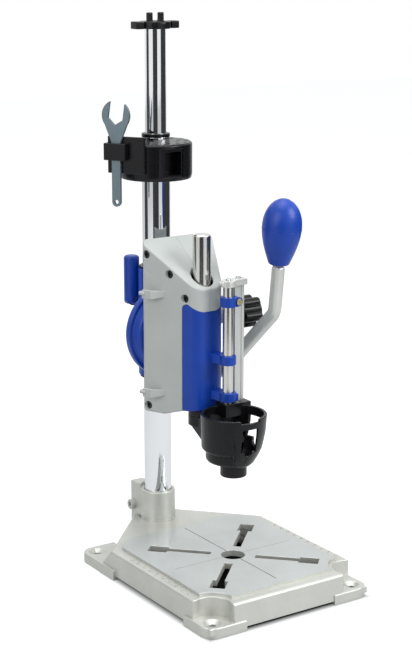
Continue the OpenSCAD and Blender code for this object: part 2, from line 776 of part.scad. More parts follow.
module clamp_bolt() color(steel) difference() {
    union() {
        along_x(clamp_bolt_r, clamp_x, ear_half + 7.5, clamp_y, clamp_z);
        along_y(4, clamp_y - eye_t / 2, clamp_y + eye_t / 2, clamp_x, clamp_z);
    }
    along_y(clamp_pin_r + fit, clamp_y - 10, clamp_y + 10, clamp_x, clamp_z);
}
module clamp_nut() color(steel) difference() {
    translate([ear_half, clamp_y, clamp_z]) rotate([0, 90, 0]) cylinder(r = 4.8, h = 4.5, $fn = 6);
    along_x(clamp_bolt_r + fit, ear_half - 1, ear_half + 6, clamp_y, clamp_z);
}
module clamp_pin() color(steel) along_y(clamp_pin_r, clamp_y - 6.4, clamp_y + 6.4, clamp_x, clamp_z);
module clamp_handle() color(blue) difference() {
    union() {
        along_z(grip_d / 2, clamp_z, grip_high - 1.5, clamp_x, clamp_y);
        translate([clamp_x, clamp_y, grip_high - 1.5])
            cylinder(r1 = grip_d / 2, r2 = grip_d / 2 - 1.5, h = 1.5);
        translate([clamp_x, clamp_y, clamp_z]) sphere(r = grip_d / 2);
        intersection() {
            along_y(cam_r, clamp_y - cam_front, clamp_y + grip_d / 2, clamp_x, clamp_z);
            along_z(grip_d / 2, clamp_z - 20, clamp_z + 1, clamp_x, clamp_y);
        }
    }
    along_y(clamp_pin_r + fit, clamp_y - 20, clamp_y + 20, clamp_x, clamp_z);
    block(clamp_x - 5.2, clamp_x + 20, clamp_y - eye_t / 2 - air, clamp_y + eye_t / 2 + air,
        clamp_z - 20, clamp_z + 4.5);
}
washer_t = 2;
pivot_end = disc_back - 4.5;
bolt_head_t = 5;
wall_in_y = back_y - wall;
module pivot_bolt() color(steel) {
    along_y(pivot_d / 2, wall_in_y - washer_t - fit, pivot_end, 0, pivot_z);
    translate([0, wall_in_y - washer_t - fit, pivot_z]) rotate([90, 0, 0])
        cylinder(r = pivot_d * 0.75, h = bolt_head_t, $fn = 6);
}
module pivot_washer() color(steel) difference() {
    along_y(pivot_d * 0.95, wall_in_y - washer_t, wall_in_y, 0, pivot_z);
    along_y(pivot_d / 2 + fit, wall_in_y - 10, wall_in_y + 10, 0, pivot_z);
}

// Head housing
module side_profile(i) {
    slope = (housing_high - nose_high) / (housing_back - nose_front);
    drop = i * sqrt(1 + slope * slope);
    y0 = nose_front - 40;
    translate([drill_y, 0]) polygon([[y0, nose_low + i], [nose_front, nose_low + i],
        [cover_back, nose_low - 1.5 + i], [cover_back + 19, housing_low + i],
        [housing_back + 1, housing_low + i], [housing_back + 1, housing_high - drop],
        [housing_back, housing_high - drop], [nose_front, nose_high - drop], [y0, nose_high - drop]]);
}
module head_solid(i) intersection() {
    translate([0, drill_y, housing_low - 5]) linear_extrude(housing_high - housing_low + 10)
        polygon(concat(half_outline(i), mirrored(half_outline(i))));
    yz(-far, far) side_profile(i);
}
// Side view of the covers, grown by i for the seam: a round upper corner that falls to a flat top
module cover_zone(i) {
    y1 = drill_y + cover_back + i;
    r = cover_corner_r + i;
    yz(-far, far) polygon(concat([[y1, nose_low - far]],
        arc([y1 - r, cover_high + cover_corner_up], r, 0, 105, 8),
        [[y1 - cover_slope_l, cover_high + i], [-far, cover_high + i], [-far, nose_low - far]]));
}
module cover_shell(i) difference() {
    intersection() {
        head_solid(0);
        cover_zone(i);
    }
    translate([0, drill_y, 0]) linear_extrude(far)
        polygon(concat(half_outline(wall), mirrored(half_outline(wall))));
}
// Sides above the crease, leaning in a little towards the rear
module crease_panels() {
    a = atan2(face_q.y - face_p.y, face_q.x - face_p.x);
    l = norm(face_q - face_p);
    z0 = nose_high - crease_front;
    z1 = housing_high - crease_rear;
    for (s = [0, 1]) mirror([s, 0, 0]) translate([face_p.x, drill_y + face_p.y, 0])
        rotate(a + asin(crease_t / l)) xz(-4 * crease_t, 0)
            polygon([[0, z0], [l + corner_r, z1], [l + corner_r, far], [0, far]]);
}
module half(s) {
    translate([s > 0 ? 0 : -far, -far, 0]) cube([far, 2 * far, far]);
}
module rib(z0, z1) intersection() {
    head_solid(wall - 0.5);
    block(-far, far, drill_y, quill_y + 16, z0, z1);
}
upper_bush_z = [cover_high + 1, cover_high + 16];
lower_bush_z = [nose_low - 1, sector_z - 15.5];
boss_x = side_x(sector_y - drill_y - feed_bush_r) - wall - 0.2;
module housing_shell() difference() {
    union() {
        difference() {
            head_solid(0);
            head_solid(wall);
        }
        rib(upper_bush_z[0], upper_bush_z[1]);
        rib(housing_low, lower_bush_z[1]);
        intersection() {
            head_solid(wall - 0.5);
            union() {
                for (p = screw_at) along_x(screw_r + 2, -far, far, drill_y + p.x, p.y);
                for (s = [-1, 1])
                    along_x(feed_bush_r + 3, s * boss_x - 6, s * boss_x + 6, sector_y, sector_z);
            }
        }
    }
    cover_shell(seam);
    crease_panels();
    along_z(bush_r + fit, upper_bush_z[0] - 1, upper_bush_z[1], 0, quill_y);
    along_z(throat_r, upper_bush_z[0], far, 0, quill_y);
    along_z(quill_r + 1, 0, upper_bush_z[0], 0, quill_y);
    along_z(bush_r + fit, lower_bush_z[0], lower_bush_z[1] + 1, 0, quill_y);
    along_y(pivot_d / 2 + fit, wall_in_y - 1, back_y + 1, 0, pivot_z);
    along_x(sector_r + tooth_m + 1.5, -sector_w / 2 - 2, sector_w / 2 + 2, sector_y, sector_z);
    along_x(feed_bush_r + fit, -boss_x + 0.2, far, sector_y, sector_z);
    along_x(screw_r + fit, -far, 0, drill_y + bush_screw_at.x, bush_screw_at.y);
    along_x(screw_head_r + fit, -far, -bush_screw_x, drill_y + bush_screw_at.x, bush_screw_at.y);
    for (p = screw_at) {
        along_x(screw_r + fit, -far, far, drill_y + p.x, p.y);
        for (s = [-1, 1]) along_x(screw_head_r + fit, s > 0 ? head_x(p) : -far, s > 0 ? far : -head_x(p),
            drill_y + p.x, p.y);
    }
}
// Seat of a screw head under the slanted side
function head_x(p) = side_x(min(p.x, face_q.y)) - screw_head_t - 1.1;
bush_screw_x = head_x(bush_screw_at);
clip_z = [cover_high + 13, housing_low + 20];
clip_gap = 6;
clip_l = 18.5;
clip_h = 7.6;
clip_t = 2.6;
clip_ramp = 9.5;
// Cord clip: a ramp that widens and rises off the side, then an arm with a bead at its end
module cord_clip(z) {
    d = face_q - face_p;
    y1 = -clip_gap - clip_t;
    translate([face_p.x, drill_y + face_p.y, z]) rotate(atan2(d.y, d.x))
        translate([norm(d) * 0.55, 0, 0]) {
            intersection() {
                translate([0, 0, -clip_h]) linear_extrude(2 * clip_h)
                    polygon([[-0.4, 0.3], [clip_ramp, y1], [clip_l, y1], [clip_l, -clip_gap],
                        [clip_ramp + 0.1, -clip_gap], [3.6, 0.3]]);
                xz(-far, far) polygon([[-1, -2.2], [8, -clip_h / 2], [clip_l + 1, -clip_h / 2],
                    [clip_l + 1, clip_h / 2], [8, clip_h / 2], [-1, 2.2]]);
            }
            along_x(1.9, clip_l - 3, clip_l + 2.5, y1 + 0.6, 0.6);
        }
}
module housing_left() color(grey) {
    intersection() {
        housing_shell();
        half(-1);
    }
    mirror([1, 0, 0]) for (z = clip_z) cord_clip(z);
}
module housing_right() color(grey) difference() {
    union() {
        intersection() {
            housing_shell();
            half(1);
        }
        intersection() {
            head_solid(0.5);
            along_y(ball_r + 3, index_pocket_y - 2, back_y, index_x, index_z);
        }
        difference() {
            along_x(lock_boss_r, quill_r + 1, lock_x0 - 3, quill_y, lock_z);
            translate([0, drill_y, 0]) linear_extrude(far) intersection() {
                polygon(concat(half_outline(wall), mirrored(half_outline(wall))));
                translate([-far, quill_reach + quill_r]) square(2 * far);
            }
        }
    }
    along_y(ball_r + fit, index_pocket_y, back_y + 1, index_x, index_z);
    along_x(stud_r + fit, 0, far, quill_y, lock_z);
    along_z(quill_r + 1, 0, upper_bush_z[0], 0, quill_y);
}
module lock_cut() {
    along_x(lock_boss_r + 0.2, 0, far, quill_y, lock_z);
}
module cover_left() color(blue) intersection() {
    cover_shell(0);
    half(-1);
}
module guide_lug(z1) {
    y0 = drill_y + rod_reach;
    difference() {
        union() {
            along_z(lug_r, z1 - lug_h, z1, rod_side, y0);
            translate([0, 0, z1 - lug_h]) linear_extrude(lug_h)
                bar2d([rod_side, y0], [rod_side - 4.5, drill_y + nose_front + 3], lug_r * 1.5);
        }
        along_z(rod_r + fit, 0, far, rod_side, y0);
        translate([0, drill_y, 0]) linear_extrude(far)
            polygon(concat(half_outline(wall), mirrored(half_outline(wall))));
    }
}
module cover_right() color(blue) {
    difference() {
        intersection() {
            cover_shell(0);
            half(1);
        }
        lock_cut();
    }
    for (z = [lug_high, lug_low]) guide_lug(z);
    translate([0, 0, lug_low - lug_h]) linear_extrude(lug_h * 0.8) difference() {
        y0 = drill_y + rod_reach - 2.5;
        bar2d([rod_side, y0], [bar_side - bar_w / 2, y0], 5);
        translate([rod_side, drill_y + rod_reach]) circle(r = rod_r + fit);
    }
}
module housing_screws() color("#3a3a3c") for (p = screw_at) difference() {
    union() {
        along_x(screw_r, -head_x(p) - air, head_x(p) + air, drill_y + p.x, p.y);
        along_x(screw_head_r, -head_x(p) - screw_head_t, -head_x(p), drill_y + p.x, p.y);
        along_x(screw_head_r, head_x(p), head_x(p) + screw_head_t, drill_y + p.x, p.y);
    }
    translate([-head_x(p) - screw_head_t - 1, drill_y + p.x, p.y]) rotate([0, 90, 0])
        cylinder(r = screw_d * 0.47, h = screw_head_t, $fn = 6);
}
module bush_screw() color("#3a3a3c") difference() {
    union() {
        along_x(screw_r, -bush_screw_x, -bush_r - fit, drill_y + bush_screw_at.x, bush_screw_at.y);
        along_x(screw_head_r, -bush_screw_x - screw_head_t, -bush_screw_x, drill_y + bush_screw_at.x,
            bush_screw_at.y);
    }
    translate([-bush_screw_x - screw_head_t - 1, drill_y + bush_screw_at.x, bush_screw_at.y])
        rotate([0, 90, 0]) cylinder(r = screw_d * 0.47, h = screw_head_t, $fn = 6);
}
module upper_bush() color(bronze) translate([0, quill_y, 0])
    tube(bush_r, quill_r + fit, upper_bush_z[0], upper_bush_z[1] - 0.05);
module lower_bush() color(bronze) translate([0, quill_y, 0])
    tube(bush_r, quill_r + fit, lower_bush_z[0] + 0.05, lower_bush_z[1]);
feed_bush_in = boss_x - 6;
module feed_bushes() color(bronze) for (s = [-1, 1]) difference() {
    along_x(feed_bush_r, s > 0 ? feed_bush_in : -boss_x + 0.3, s > 0 ? side_at + 1 : -feed_bush_in,
        sector_y, sector_z);
    along_x(feed_r + fit, -far, far, sector_y, sector_z);
}
ball_y = disc_front - air - ball_r;
module index_ball() color(steel) translate([index_x, ball_y, index_z]) sphere(r = ball_r);
index_coil_r = 1.9;
index_wire = 0.4;
index_turns = 4;
index_pitch = 1.2;
index_spring_y = ball_y - sqrt(ball_r * ball_r - pow(index_coil_r - index_wire, 2)) - index_wire - fit
    - index_turns * index_pitch;
index_pocket_y = index_spring_y - index_wire - fit;
module index_spring() color(steel) translate([index_x, index_spring_y, index_z]) rotate([-90, 0, 0])
    coil(index_coil_r, index_wire, index_pitch, index_turns);
return_wire = 0.9;
return_turns = 4;
return_pitch = 2.4;
return_coil_r = (feed_r + return_wire + air) / cos(180 / coil_rings);
module return_spring() color(steel)
    translate([-feed_bush_in + return_wire + air, sector_y, sector_z]) rotate([0, 90, 0])
        coil(return_coil_r, return_wire, return_pitch, return_turns);
echo(index_spring_gap = coil_gap(index_coil_r, index_wire, index_pitch, index_turns));
echo(return_spring_gap = coil_gap(return_coil_r, return_wire, return_pitch, return_turns));

// Feed lever
module feed_shaft() color(steel) along_x(feed_r, -boss_x + 0.6, hub_x1, sector_y, sector_z);
module sector_tooth(k) rotate(180 - k * tooth_a) polygon([
    [sector_r - 3, -1.25], [sector_r, -0.95], [sector_r + tooth_m * 0.85, -0.5],
    [sector_r + tooth_m * 0.85, 0.5], [sector_r, 0.95], [sector_r - 3, 1.25]]);
module sector_gear() color(steel) difference() {
    yz(-sector_w / 2, sector_w / 2) translate([sector_y, sector_z]) union() {
        circle(r = gear_hub_r);
        intersection() {
            circle(r = sector_r - tooth_m * 1.25);
            polygon(concat([[0, 0]], [for (k = [-teeth_below - 0.6:0.9:teeth_above + 0.6])
                2 * sector_r * [cos(180 - k * tooth_a), sin(180 - k * tooth_a)]]));
        }
        for (k = [-teeth_below:teeth_above]) sector_tooth(k);
    }
    along_x(feed_r + fit, -far, far, sector_y, sector_z);
}
low_dir = (elbow - [sector_y, sector_z]) / norm(elbow - [sector_y, sector_z]);
high_dir = (neck - elbow) / norm(neck - elbow);
low_a = atan2(low_dir.y, low_dir.x);
high_a = atan2(high_dir.y, high_dir.x);
bend_l = bend_r * tan((low_a - high_a) / 2);
bend_from = elbow - bend_l * low_dir;
bend_mid = bend_from + bend_r * [low_dir.y, -low_dir.x];
// One edge of the lever, from its hub round the elbow to its neck
function lever_side(o) = concat([[sector_y, sector_z] + o * [-low_dir.y, low_dir.x]],
    arc(bend_mid, bend_r + o, low_a + 90, high_a + 90, 8), [neck + o * [-high_dir.y, high_dir.x]]);
module lever_arm() color(grey) difference() {
    union() {
        yz(lever_x - lever_t / 2, hub_x1)
            polygon(concat(lever_side(lever_w / 2), backwards(lever_side(-lever_w / 2))));
        along_x(hub_r, hub_from, hub_x1, sector_y, sector_z);
        translate([lever_x, neck.x, neck.y]) rotate([knob_lean, 0, 0]) translate([0, 0, -2])
            cylinder(d = tang_d, h = knob_bore_l + 2);
    }
    along_x(feed_r + fit, -far, far, sector_y, sector_z);
}
tang_d = lever_t - 1;
module lever_knob() color(blue) translate([lever_x, neck.x, neck.y]) rotate([knob_lean, 0, 0])
    translate([0, 0, 1.4]) difference() {
        rotate_extrude() polygon(concat([[0, 0]],
            [for (i = [0:17]) [knob_r * egg(i / 18), knob_l * i / 18]],
            [[knob_r * egg(0.985), knob_l * 0.985], [0, knob_l]]));
        translate([0, 0, -1]) cylinder(d = tang_d + 2 * fit, h = knob_bore_l + 1);
    }
// Relative radius of the egg-shaped knob along its length
function egg(t) = t > knob_wide ? sqrt(max(0, 1 - pow((t - knob_wide) / (1 - knob_wide), 2)))
    : 0.52 + 0.48 * sin(90 * t / knob_wide);
module lever_screw() color(steel) difference() {
    along_x(feed_r + 1.5, hub_x1, hub_x1 + 3.5, sector_y, sector_z);
    translate([hub_x1 + 1.5, sector_y, sector_z]) rotate([0, 90, 0]) cylinder(r = 2.6, h = 4, $fn = 6);
}

// Quill
rack_gap = tooth_p / 4 + backlash;
module quill_shaft() color(chrome) difference() {
    union() {
        along_z(quill_r, quill_low, quill_high - 1, 0, quill_y);
        translate([0, quill_y, quill_high - 1]) cylinder(r1 = quill_r, r2 = quill_r - 1, h = 1);
    }
    for (k = [-teeth_below - 1:teeth_above]) yz(-20, 20) translate([rack_y, sector_z + k * tooth_p])
        polygon([[-tooth_m * 1.35, -rack_gap + 0.68], [tooth_m + 1, -rack_gap - 0.9],
            [tooth_m + 1, rack_gap + 0.9], [-tooth_m * 1.35, rack_gap - 0.68]]);
}
hub_top = nose_low - 6.5;
cup_floor = spout_low + 11;
module cup_outer() rotate_extrude() polygon([[0, spout_low], [spout_r - 1.5, spout_low],
    [spout_r, spout_low + 2], [spout_r, cup_floor], [cup_r - 6, cup_floor + 3], [cup_r - 4.5, cup_floor + 5],
    [cup_r - 4.5, cup_floor + 11], [cup_r - 0.8, cup_floor + 15], [cup_r, cup_high], [0, cup_high]]);
module cup_inner() {
    rotate_extrude() polygon([[0, cup_floor + 3], [nose_bore_d / 2, cup_floor + 3],
        [cup_r - 4.5 - cup_t, cup_floor + 6.5], [cup_r - 4.5 - cup_t, cup_floor + 12],
        [cup_r - 0.8 - cup_t, cup_floor + 16], [cup_r - cup_t, cup_high + 1], [0, cup_high + 1]]);
    along_z(nose_bore_d / 2, 0, cup_floor + 4, 0, 0);
}
// The cup's open side is drawn in to the floor, leaving ribs between the windows
module open_side() rotate(open_from) rotate_extrude(angle = open_angle)
    polygon([[0, 0], [far, 0], [far, far], [0, far]]);
module cup_taper(i) rotate_extrude() polygon([[0, cup_floor - 2 + i], [spout_r + 3 - i, cup_floor - 1 + i],
    [cup_r - 11 - i, cup_floor + 2 + i], [cup_r - 7.5 - i, cup_floor + 8], [cup_r - 4.2 - i, cup_floor + 15],
    [cup_r - 2.6 - i, cup_floor + 22], [cup_r - 1 - i, cup_high - 14], [cup_r - i, cup_high + i],
    [0, cup_high + i]]);
open_from = -124;
open_angle = 154;
module cup_shell() difference() {
    union() {
        difference() {
            cup_outer();
            open_side();
        }
        intersection() {
            cup_taper(0);
            open_side();
        }
        along_z(spout_r, spout_low, cup_floor + 1, 0, 0);
    }
    difference() {
        cup_inner();
        open_side();
    }
    intersection() {
        cup_taper(cup_t);
        open_side();
    }
    along_z(nose_bore_d / 2, 0, cup_floor + 4, 0, 0);
}
// Notch in the rim over the front window
module rim_notch(a, w) rotate(a) block(-w / 2, w / 2, -far, -cup_r / 2, cup_high - notch_t, cup_high + 1);
cup_band = 8;
cup_sill = 12;
window_front = [-3, 15];
window_side = [84, 26];
module cup_window(a, w) {
    z1 = cup_high - cup_band;
    z0 = cup_floor + cup_sill;
    rotate(a) {
        translate([-w / 2, -cup_r - 10, z0 + w / 4]) cube([w, cup_r - 5, z1 - z0 - w / 4]);
        translate([0, -cup_r - 10, z0 + w / 4]) rotate([-90, 0, 0]) cylinder(r = w / 4, h = cup_r - 5);
        translate([-w / 4, -cup_r - 10, z0 + w / 4]) cube([w / 2, cup_r - 5, 1]);
    }
}
ear_top = lug_low - lug_h - air - 1;
module gauge_ear() {
    y0 = rod_reach - rod_r - 2.5;
    z0 = ear_top - 12;
    block(rod_side - rod_r - 2.5, bar_side + bar_w / 2 + 2, y0, bar_reach + bar_t / 2 + 2, z0, ear_top);
}
module tool_cup() color(black) translate([0, drill_y, 0]) difference() {
    union() {
        cup_shell();
        along_z(quill_r + 4, quill_low - 2, hub_top, 0, quill_reach);
        difference() {
            yz(-9, 9) polygon([[0, hub_top], [quill_reach, hub_top], [quill_reach, quill_low - 2],
                [cup_r - 3, cup_floor + 7], [0, cup_floor + 7]]);
            cup_inner();
        }
        gauge_ear();
    }
    along_z(quill_r + fit, quill_low - fit, far, 0, quill_reach);
    along_z(rod_r + fit, ear_top - 8, far, rod_side, rod_reach);
    block(bar_side - bar_w / 2 - fit, bar_side + bar_w / 2 + fit,
        bar_reach - bar_t / 2 - fit, bar_reach + bar_t / 2 + fit,
        ear_top - 8, far);
    cup_window(window_front[0], window_front[1]);
    cup_window(window_side[0], window_side[1]);
    rim_notch(window_front[0], window_front[1] + 3);
    along_y(cup_screw_r + fit, quill_reach, far, 0, cup_screw_z);
}
cup_screw_r = 2.5;
cup_screw_z = (quill_low + hub_top) / 2;
module cup_screw() color(steel) difference() {
    along_y(cup_screw_r, quill_y + quill_r + fit, quill_y + quill_r + 5.5, 0, cup_screw_z);
    translate([0, quill_y + quill_r + 3.5, cup_screw_z]) rotate([-90, 0, 0])
        cylinder(r = 1.4, h = 4, $fn = 6);
}
cap_high = cap_low + cap_t;
cap_lip = 0.8;
stop_x = rod_side + rod_r + 1.6 + 0.6;
module depth_rod() color(chrome)
    along_z(rod_r, ear_top - 8 + fit, cap_high - 2, rod_side, drill_y + rod_reach);
module depth_bar() color(alloy) difference() {
    block(bar_side - bar_w / 2, bar_side + bar_w / 2,
        drill_y + bar_reach - bar_t / 2, drill_y + bar_reach + bar_t / 2,
        ear_top - 8 + fit, cap_high - 2);
    block(bar_side + 1.2, bar_side + 2.2, drill_y, drill_y + bar_reach - bar_t / 2 + 0.8,
        ear_top - 8, cap_high);
}
module gauge_cap() color(alloy) translate([0, drill_y, 0]) difference() {
    union() {
        along_z(rod_r + 2, cap_low, cap_high, rod_side, rod_reach);
        block(rod_side, bar_side + bar_w / 2 + cap_lip, rod_reach - 2, bar_reach + bar_t / 2 + cap_lip,
            cap_low, cap_high);
        along_y(cap_t / 2 - 0.4, rod_reach - 3, rod_reach + 3,
            rod_side - rod_r - 1.5, (cap_low + cap_high) / 2);
    }
    along_z(rod_r + fit, 0, cap_high - 2 + fit, rod_side, rod_reach);
    block(bar_side - bar_w / 2 - fit, bar_side + bar_w / 2 + fit,
        bar_reach - bar_t / 2 - fit, bar_reach + bar_t / 2 + fit,
        0, cap_high - 2 + fit);
}
module cap_screws() color(steel) for (p = [[rod_side, rod_reach], [bar_side, bar_reach]])
    translate([p.x, drill_y + p.y, cap_high]) cylinder(r1 = 2.4, r2 = 1.8, h = 1.4);
module stop_collar() color(blue) translate([0, drill_y, 0]) difference() {
    z1 = collar_low + collar_h;
    union() {
        along_z(rod_r + 2.4, collar_low, z1, rod_side, rod_reach);
        block(rod_side, stop_x, rod_reach - 6, bar_reach - bar_t / 2 - air, collar_low, z1);
        along_y(collar_h / 2, rod_reach - 6, bar_reach - bar_t / 2 - air, stop_x, collar_low + collar_h / 2);
    }
    along_z(rod_r + fit, 0, far, rod_side, rod_reach);
    along_y(1.6 + fit, 0, far, stop_x, collar_low + collar_h / 2);
}
module stop_screw() color("#d8c27a") {
    along_y(1.6, drill_y + rod_reach - 6, drill_y + bar_reach - bar_t / 2 - air,
        stop_x, collar_low + collar_h / 2);
    along_y(2.8, drill_y + rod_reach - 7.8, drill_y + rod_reach - 6, stop_x, collar_low + collar_h / 2);
}
stud_r = stud_d / 2;
lobes = 5;
stud_seat = lock_l * 0.56;
module lock_knob() color(black) difference() {
    translate([lock_x0, quill_y, lock_z]) rotate([0, 90, 0]) union() {
        cylinder(r = lock_boss_r, h = lock_neck_l + 1);
        translate([0, 0, lock_neck_l]) cylinder(r = lock_r * 0.72, h = lock_l - lock_neck_l);
        for (i = [0:lobes - 1]) rotate(i * 360 / lobes) translate([lock_r * 0.68, 0, lock_neck_l])
            cylinder(r = lock_r * 0.32, h = (lock_l - lock_neck_l) * 0.9);
    }
    along_x(stud_r + fit, 0, lock_x0 + stud_seat, quill_y, lock_z);
}
module lock_stud() color(steel) along_x(stud_r, quill_r + air, lock_x0 + stud_seat - fit, quill_y, lock_z);

base_casting();
column_tube();
socket_bolt();
socket_nut();
tube_bushing();
accessory_ring();
spanner_holder();
mast_tube();
tool_hanger();
mast_guide();
spanner();
column_liner();
column_bracket();
clamp_bolt();
clamp_nut();
clamp_pin();
pivot_bolt();
clamp_handle();
housing_left();
housing_right();
cover_left();
cover_right();
housing_screws();
bush_screw();
upper_bush();
lower_bush();
feed_bushes();
pivot_washer();
index_ball();
index_spring();
return_spring();
feed_shaft();
sector_gear();
lever_arm();
lever_knob();
lever_screw();
quill_shaft();
tool_cup();
cup_screw();
depth_rod();
depth_bar();
gauge_cap();
cap_screws();
stop_collar();
stop_screw();
lock_knob();
lock_stud();
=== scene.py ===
"""Rotary tool drill stand, dressed for the photograph.

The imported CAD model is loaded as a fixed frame. The classes below give its nodes their real
finishes and rounded edges, add the fine shapes that the solids leave out, and set up the
studio and the camera. Lengths are millimetres unless a name ends in _m.
"""

from __future__ import annotations

import logging
import math
from dataclasses import dataclass, field
from enum import Enum

import bmesh
import bpy
from mathutils import Matrix, Vector


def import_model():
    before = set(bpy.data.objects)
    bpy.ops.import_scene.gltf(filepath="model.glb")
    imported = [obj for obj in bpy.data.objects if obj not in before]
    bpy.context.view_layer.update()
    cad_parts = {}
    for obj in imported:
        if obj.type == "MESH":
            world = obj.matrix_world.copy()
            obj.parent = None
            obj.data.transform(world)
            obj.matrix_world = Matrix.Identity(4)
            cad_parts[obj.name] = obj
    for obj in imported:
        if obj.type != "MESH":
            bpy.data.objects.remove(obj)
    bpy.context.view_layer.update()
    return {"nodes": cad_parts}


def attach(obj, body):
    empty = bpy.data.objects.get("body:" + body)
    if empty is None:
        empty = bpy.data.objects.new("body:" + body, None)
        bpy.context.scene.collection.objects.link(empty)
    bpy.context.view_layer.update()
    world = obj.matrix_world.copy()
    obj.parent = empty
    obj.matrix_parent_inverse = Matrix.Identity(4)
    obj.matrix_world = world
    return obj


log = logging.getLogger("drill_stand")

MM = 0.001
IMAGE_PX = (412, 651)
X = (1.0, 0.0, 0.0)
Y = (0.0, 1.0, 0.0)
Z = (0.0, 0.0, 1.0)

# Edges that turn by an angle between these two are rounded; a sharper one is a fold in the mesh
SHARP_DEG = 32.0
FOLDED_DEG = 160.0
# Points closer than this are one point, and faces that turn by less than this are one face
WELD_MM = 0.002
FLAT_DEG = 0.4
# How strongly a large face holds the shading of its edges flat
FLAT_WEIGHT = 80
# Range of a noise texture that is spread from its lowest to its highest effect
NOISE_LOW = 0.3
NOISE_HIGH = 0.7
LEAST_ROUGHNESS = 0.02
# Height of the milled table, and the slanted plane under the housing's nose
TABLE_Z = 28.0
NOSE_NORMAL = (0.0, 0.3011, 0.9536)
NOSE_PLANE = 153.15


def mm(x: float, y: float, z: float) -> Vector:
    """Returns a point given in millimetres as a vector in metres."""
    return Vector((x * MM, y * MM, z * MM))


def linear(hex_colour: str) -> tuple[float, float, float, float]:
    """Turns an sRGB hex colour into linear RGBA.

    Args:
        hex_colour: Six hex digits after a hash.

    Returns:
        Red, green, blue and alpha, each from 0 to 1.
    """
    digits = hex_colour.lstrip("#")
    channels = [int(digits[i:i + 2], 16) / 255 for i in (0, 2, 4)]
    low = [c / 12.92 if c <= 0.04045 else ((c + 0.055) / 1.055) ** 2.4 for c in channels]
    return (low[0], low[1], low[2], 1.0)


def add_node(tree: bpy.types.NodeTree, kind: str, inputs: dict | None = None, **settings) -> bpy.types.Node:
    """Adds one node with its settings, values and links.

    Args:
        tree: Node tree that gets the node.
        kind: Blender's type name for the node.
        inputs: Socket name or index to a value, or to the output socket linked to it.
        settings: Attributes set on the node.

    Returns:
        The new node.
    """
    node = tree.nodes.new(kind)
    for name, value in settings.items():
        setattr(node, name, value)
    for socket, value in (inputs or {}).items():
        target = node.inputs[socket]
        if isinstance(value, bpy.types.NodeSocket):
            tree.links.new(value, target)
        else:
            target.default_value = value
    return node


class Grain(Enum):
    """How a surface was made, which sets the pattern of its bump."""

    MOULDED = "fine even grain of an etched mould"
    DRAWN = "faint lines along a drawn or ground bar"
    SAND_CAST = "soft pits of a tumbled sand casting"
    STAMPED = "dull mottling of plated sheet"

    def stretch(self) -> tuple[float, float, float]:
        """Returns how the grain's scale differs along X, Y and Z."""
        return (1.0, 1.0, 0.02) if self is Grain.DRAWN else (1.0, 1.0, 1.0)

    def detail(self) -> float:
        """Returns how many finer layers the grain has."""
        return 6.0 if self is Grain.SAND_CAST else 2.0


@dataclass(frozen=True)
class Layers:
    """What one finish feeds to a shader: its colour, roughness and height sockets."""

    colour: bpy.types.NodeSocket
    roughness: bpy.types.NodeSocket
    height: bpy.types.NodeSocket


@dataclass(frozen=True)
class Finish:
    """One real finish, made as a node material.

    Attributes:
        name: Material name, for the real material and process.
        colour: Base colour as sRGB hex.
        roughness: Mean roughness.
        metallic: 1 for bare or plated metal.
        grain: Pattern of the bump.
        grain_mm: Size of one grain.
        height_mm: Depth of the grain.
        tone: Share by which the colour lightens and darkens.
        tone_mm: Size of the patches of lighter and darker colour.
        spread: How far the roughness strays from its mean.
        specular: Specular level, 0.5 for a plain polymer.
    """

    name: str
    colour: str
    roughness: float
    metallic: float = 0.0
    grain: Grain = Grain.MOULDED
    grain_mm: float = 0.5
    height_mm: float = 0.02
    tone: float = 0.05
    tone_mm: float = 18.0
    spread: float = 0.05
    specular: float = 0.5

    def lay(self, tree: bpy.types.NodeTree, place: bpy.types.NodeSocket) -> Layers:
        """Adds the nodes for colour, roughness and height.

        Args:
            tree: Node tree that gets them.
            place: Object coordinates.

        Returns:
            The three sockets; the height is in metres.
        """
        scaled = add_node(tree, "ShaderNodeMapping", {"Vector": place, "Scale": self.grain.stretch()})
        patches = add_node(tree, "ShaderNodeTexNoise", {
            "Vector": place, "Scale": 1 / (self.tone_mm * MM), "Detail": 3.0})
        grain = add_node(tree, "ShaderNodeTexNoise", {
            "Vector": scaled.outputs["Vector"], "Scale": 1 / (self.grain_mm * MM),
            "Detail": self.grain.detail()})
        base = linear(self.colour)
        dark = tuple(c * (1 - self.tone) for c in base[:3]) + (1.0,)
        light = tuple(min(1.0, c * (1 + self.tone)) for c in base[:3]) + (1.0,)
        shade = add_node(tree, "ShaderNodeMapRange", {
            "Value": patches.outputs["Fac"], "From Min": NOISE_LOW, "From Max": NOISE_HIGH})
        colour = add_node(tree, "ShaderNodeMix", {
            "Factor": shade.outputs["Result"], "A": dark, "B": light}, data_type="RGBA")
        gloss = add_node(tree, "ShaderNodeMapRange", {
            "Value": grain.outputs["Fac"], "From Min": NOISE_LOW, "From Max": NOISE_HIGH,
            "To Min": max(LEAST_ROUGHNESS, self.roughness - self.spread),
            "To Max": self.roughness + self.spread})
        height = add_node(tree, "ShaderNodeMath", {
            0: grain.outputs["Fac"], 1: self.height_mm * MM}, operation="MULTIPLY")
        return Layers(colour.outputs["Result"], gloss.outputs["Result"], height.outputs["Value"])

    def build(self) -> bpy.types.Material:
        """Makes the material.

        Returns:
            A material whose colour, roughness and bump vary with the place on the object.
        """
        material, tree = new_material(self.name)
        place = add_node(tree, "ShaderNodeTexCoord")
        close_material(tree, self.lay(tree, place.outputs["Object"]), self.metallic, self.specular)
        return material


def new_material(name: str) -> tuple[bpy.types.Material, bpy.types.NodeTree]:
    """Makes an empty node material and returns it with its tree."""
    material = bpy.data.materials.new(name)
    material.use_nodes = True
    material.node_tree.nodes.clear()
    return material, material.node_tree


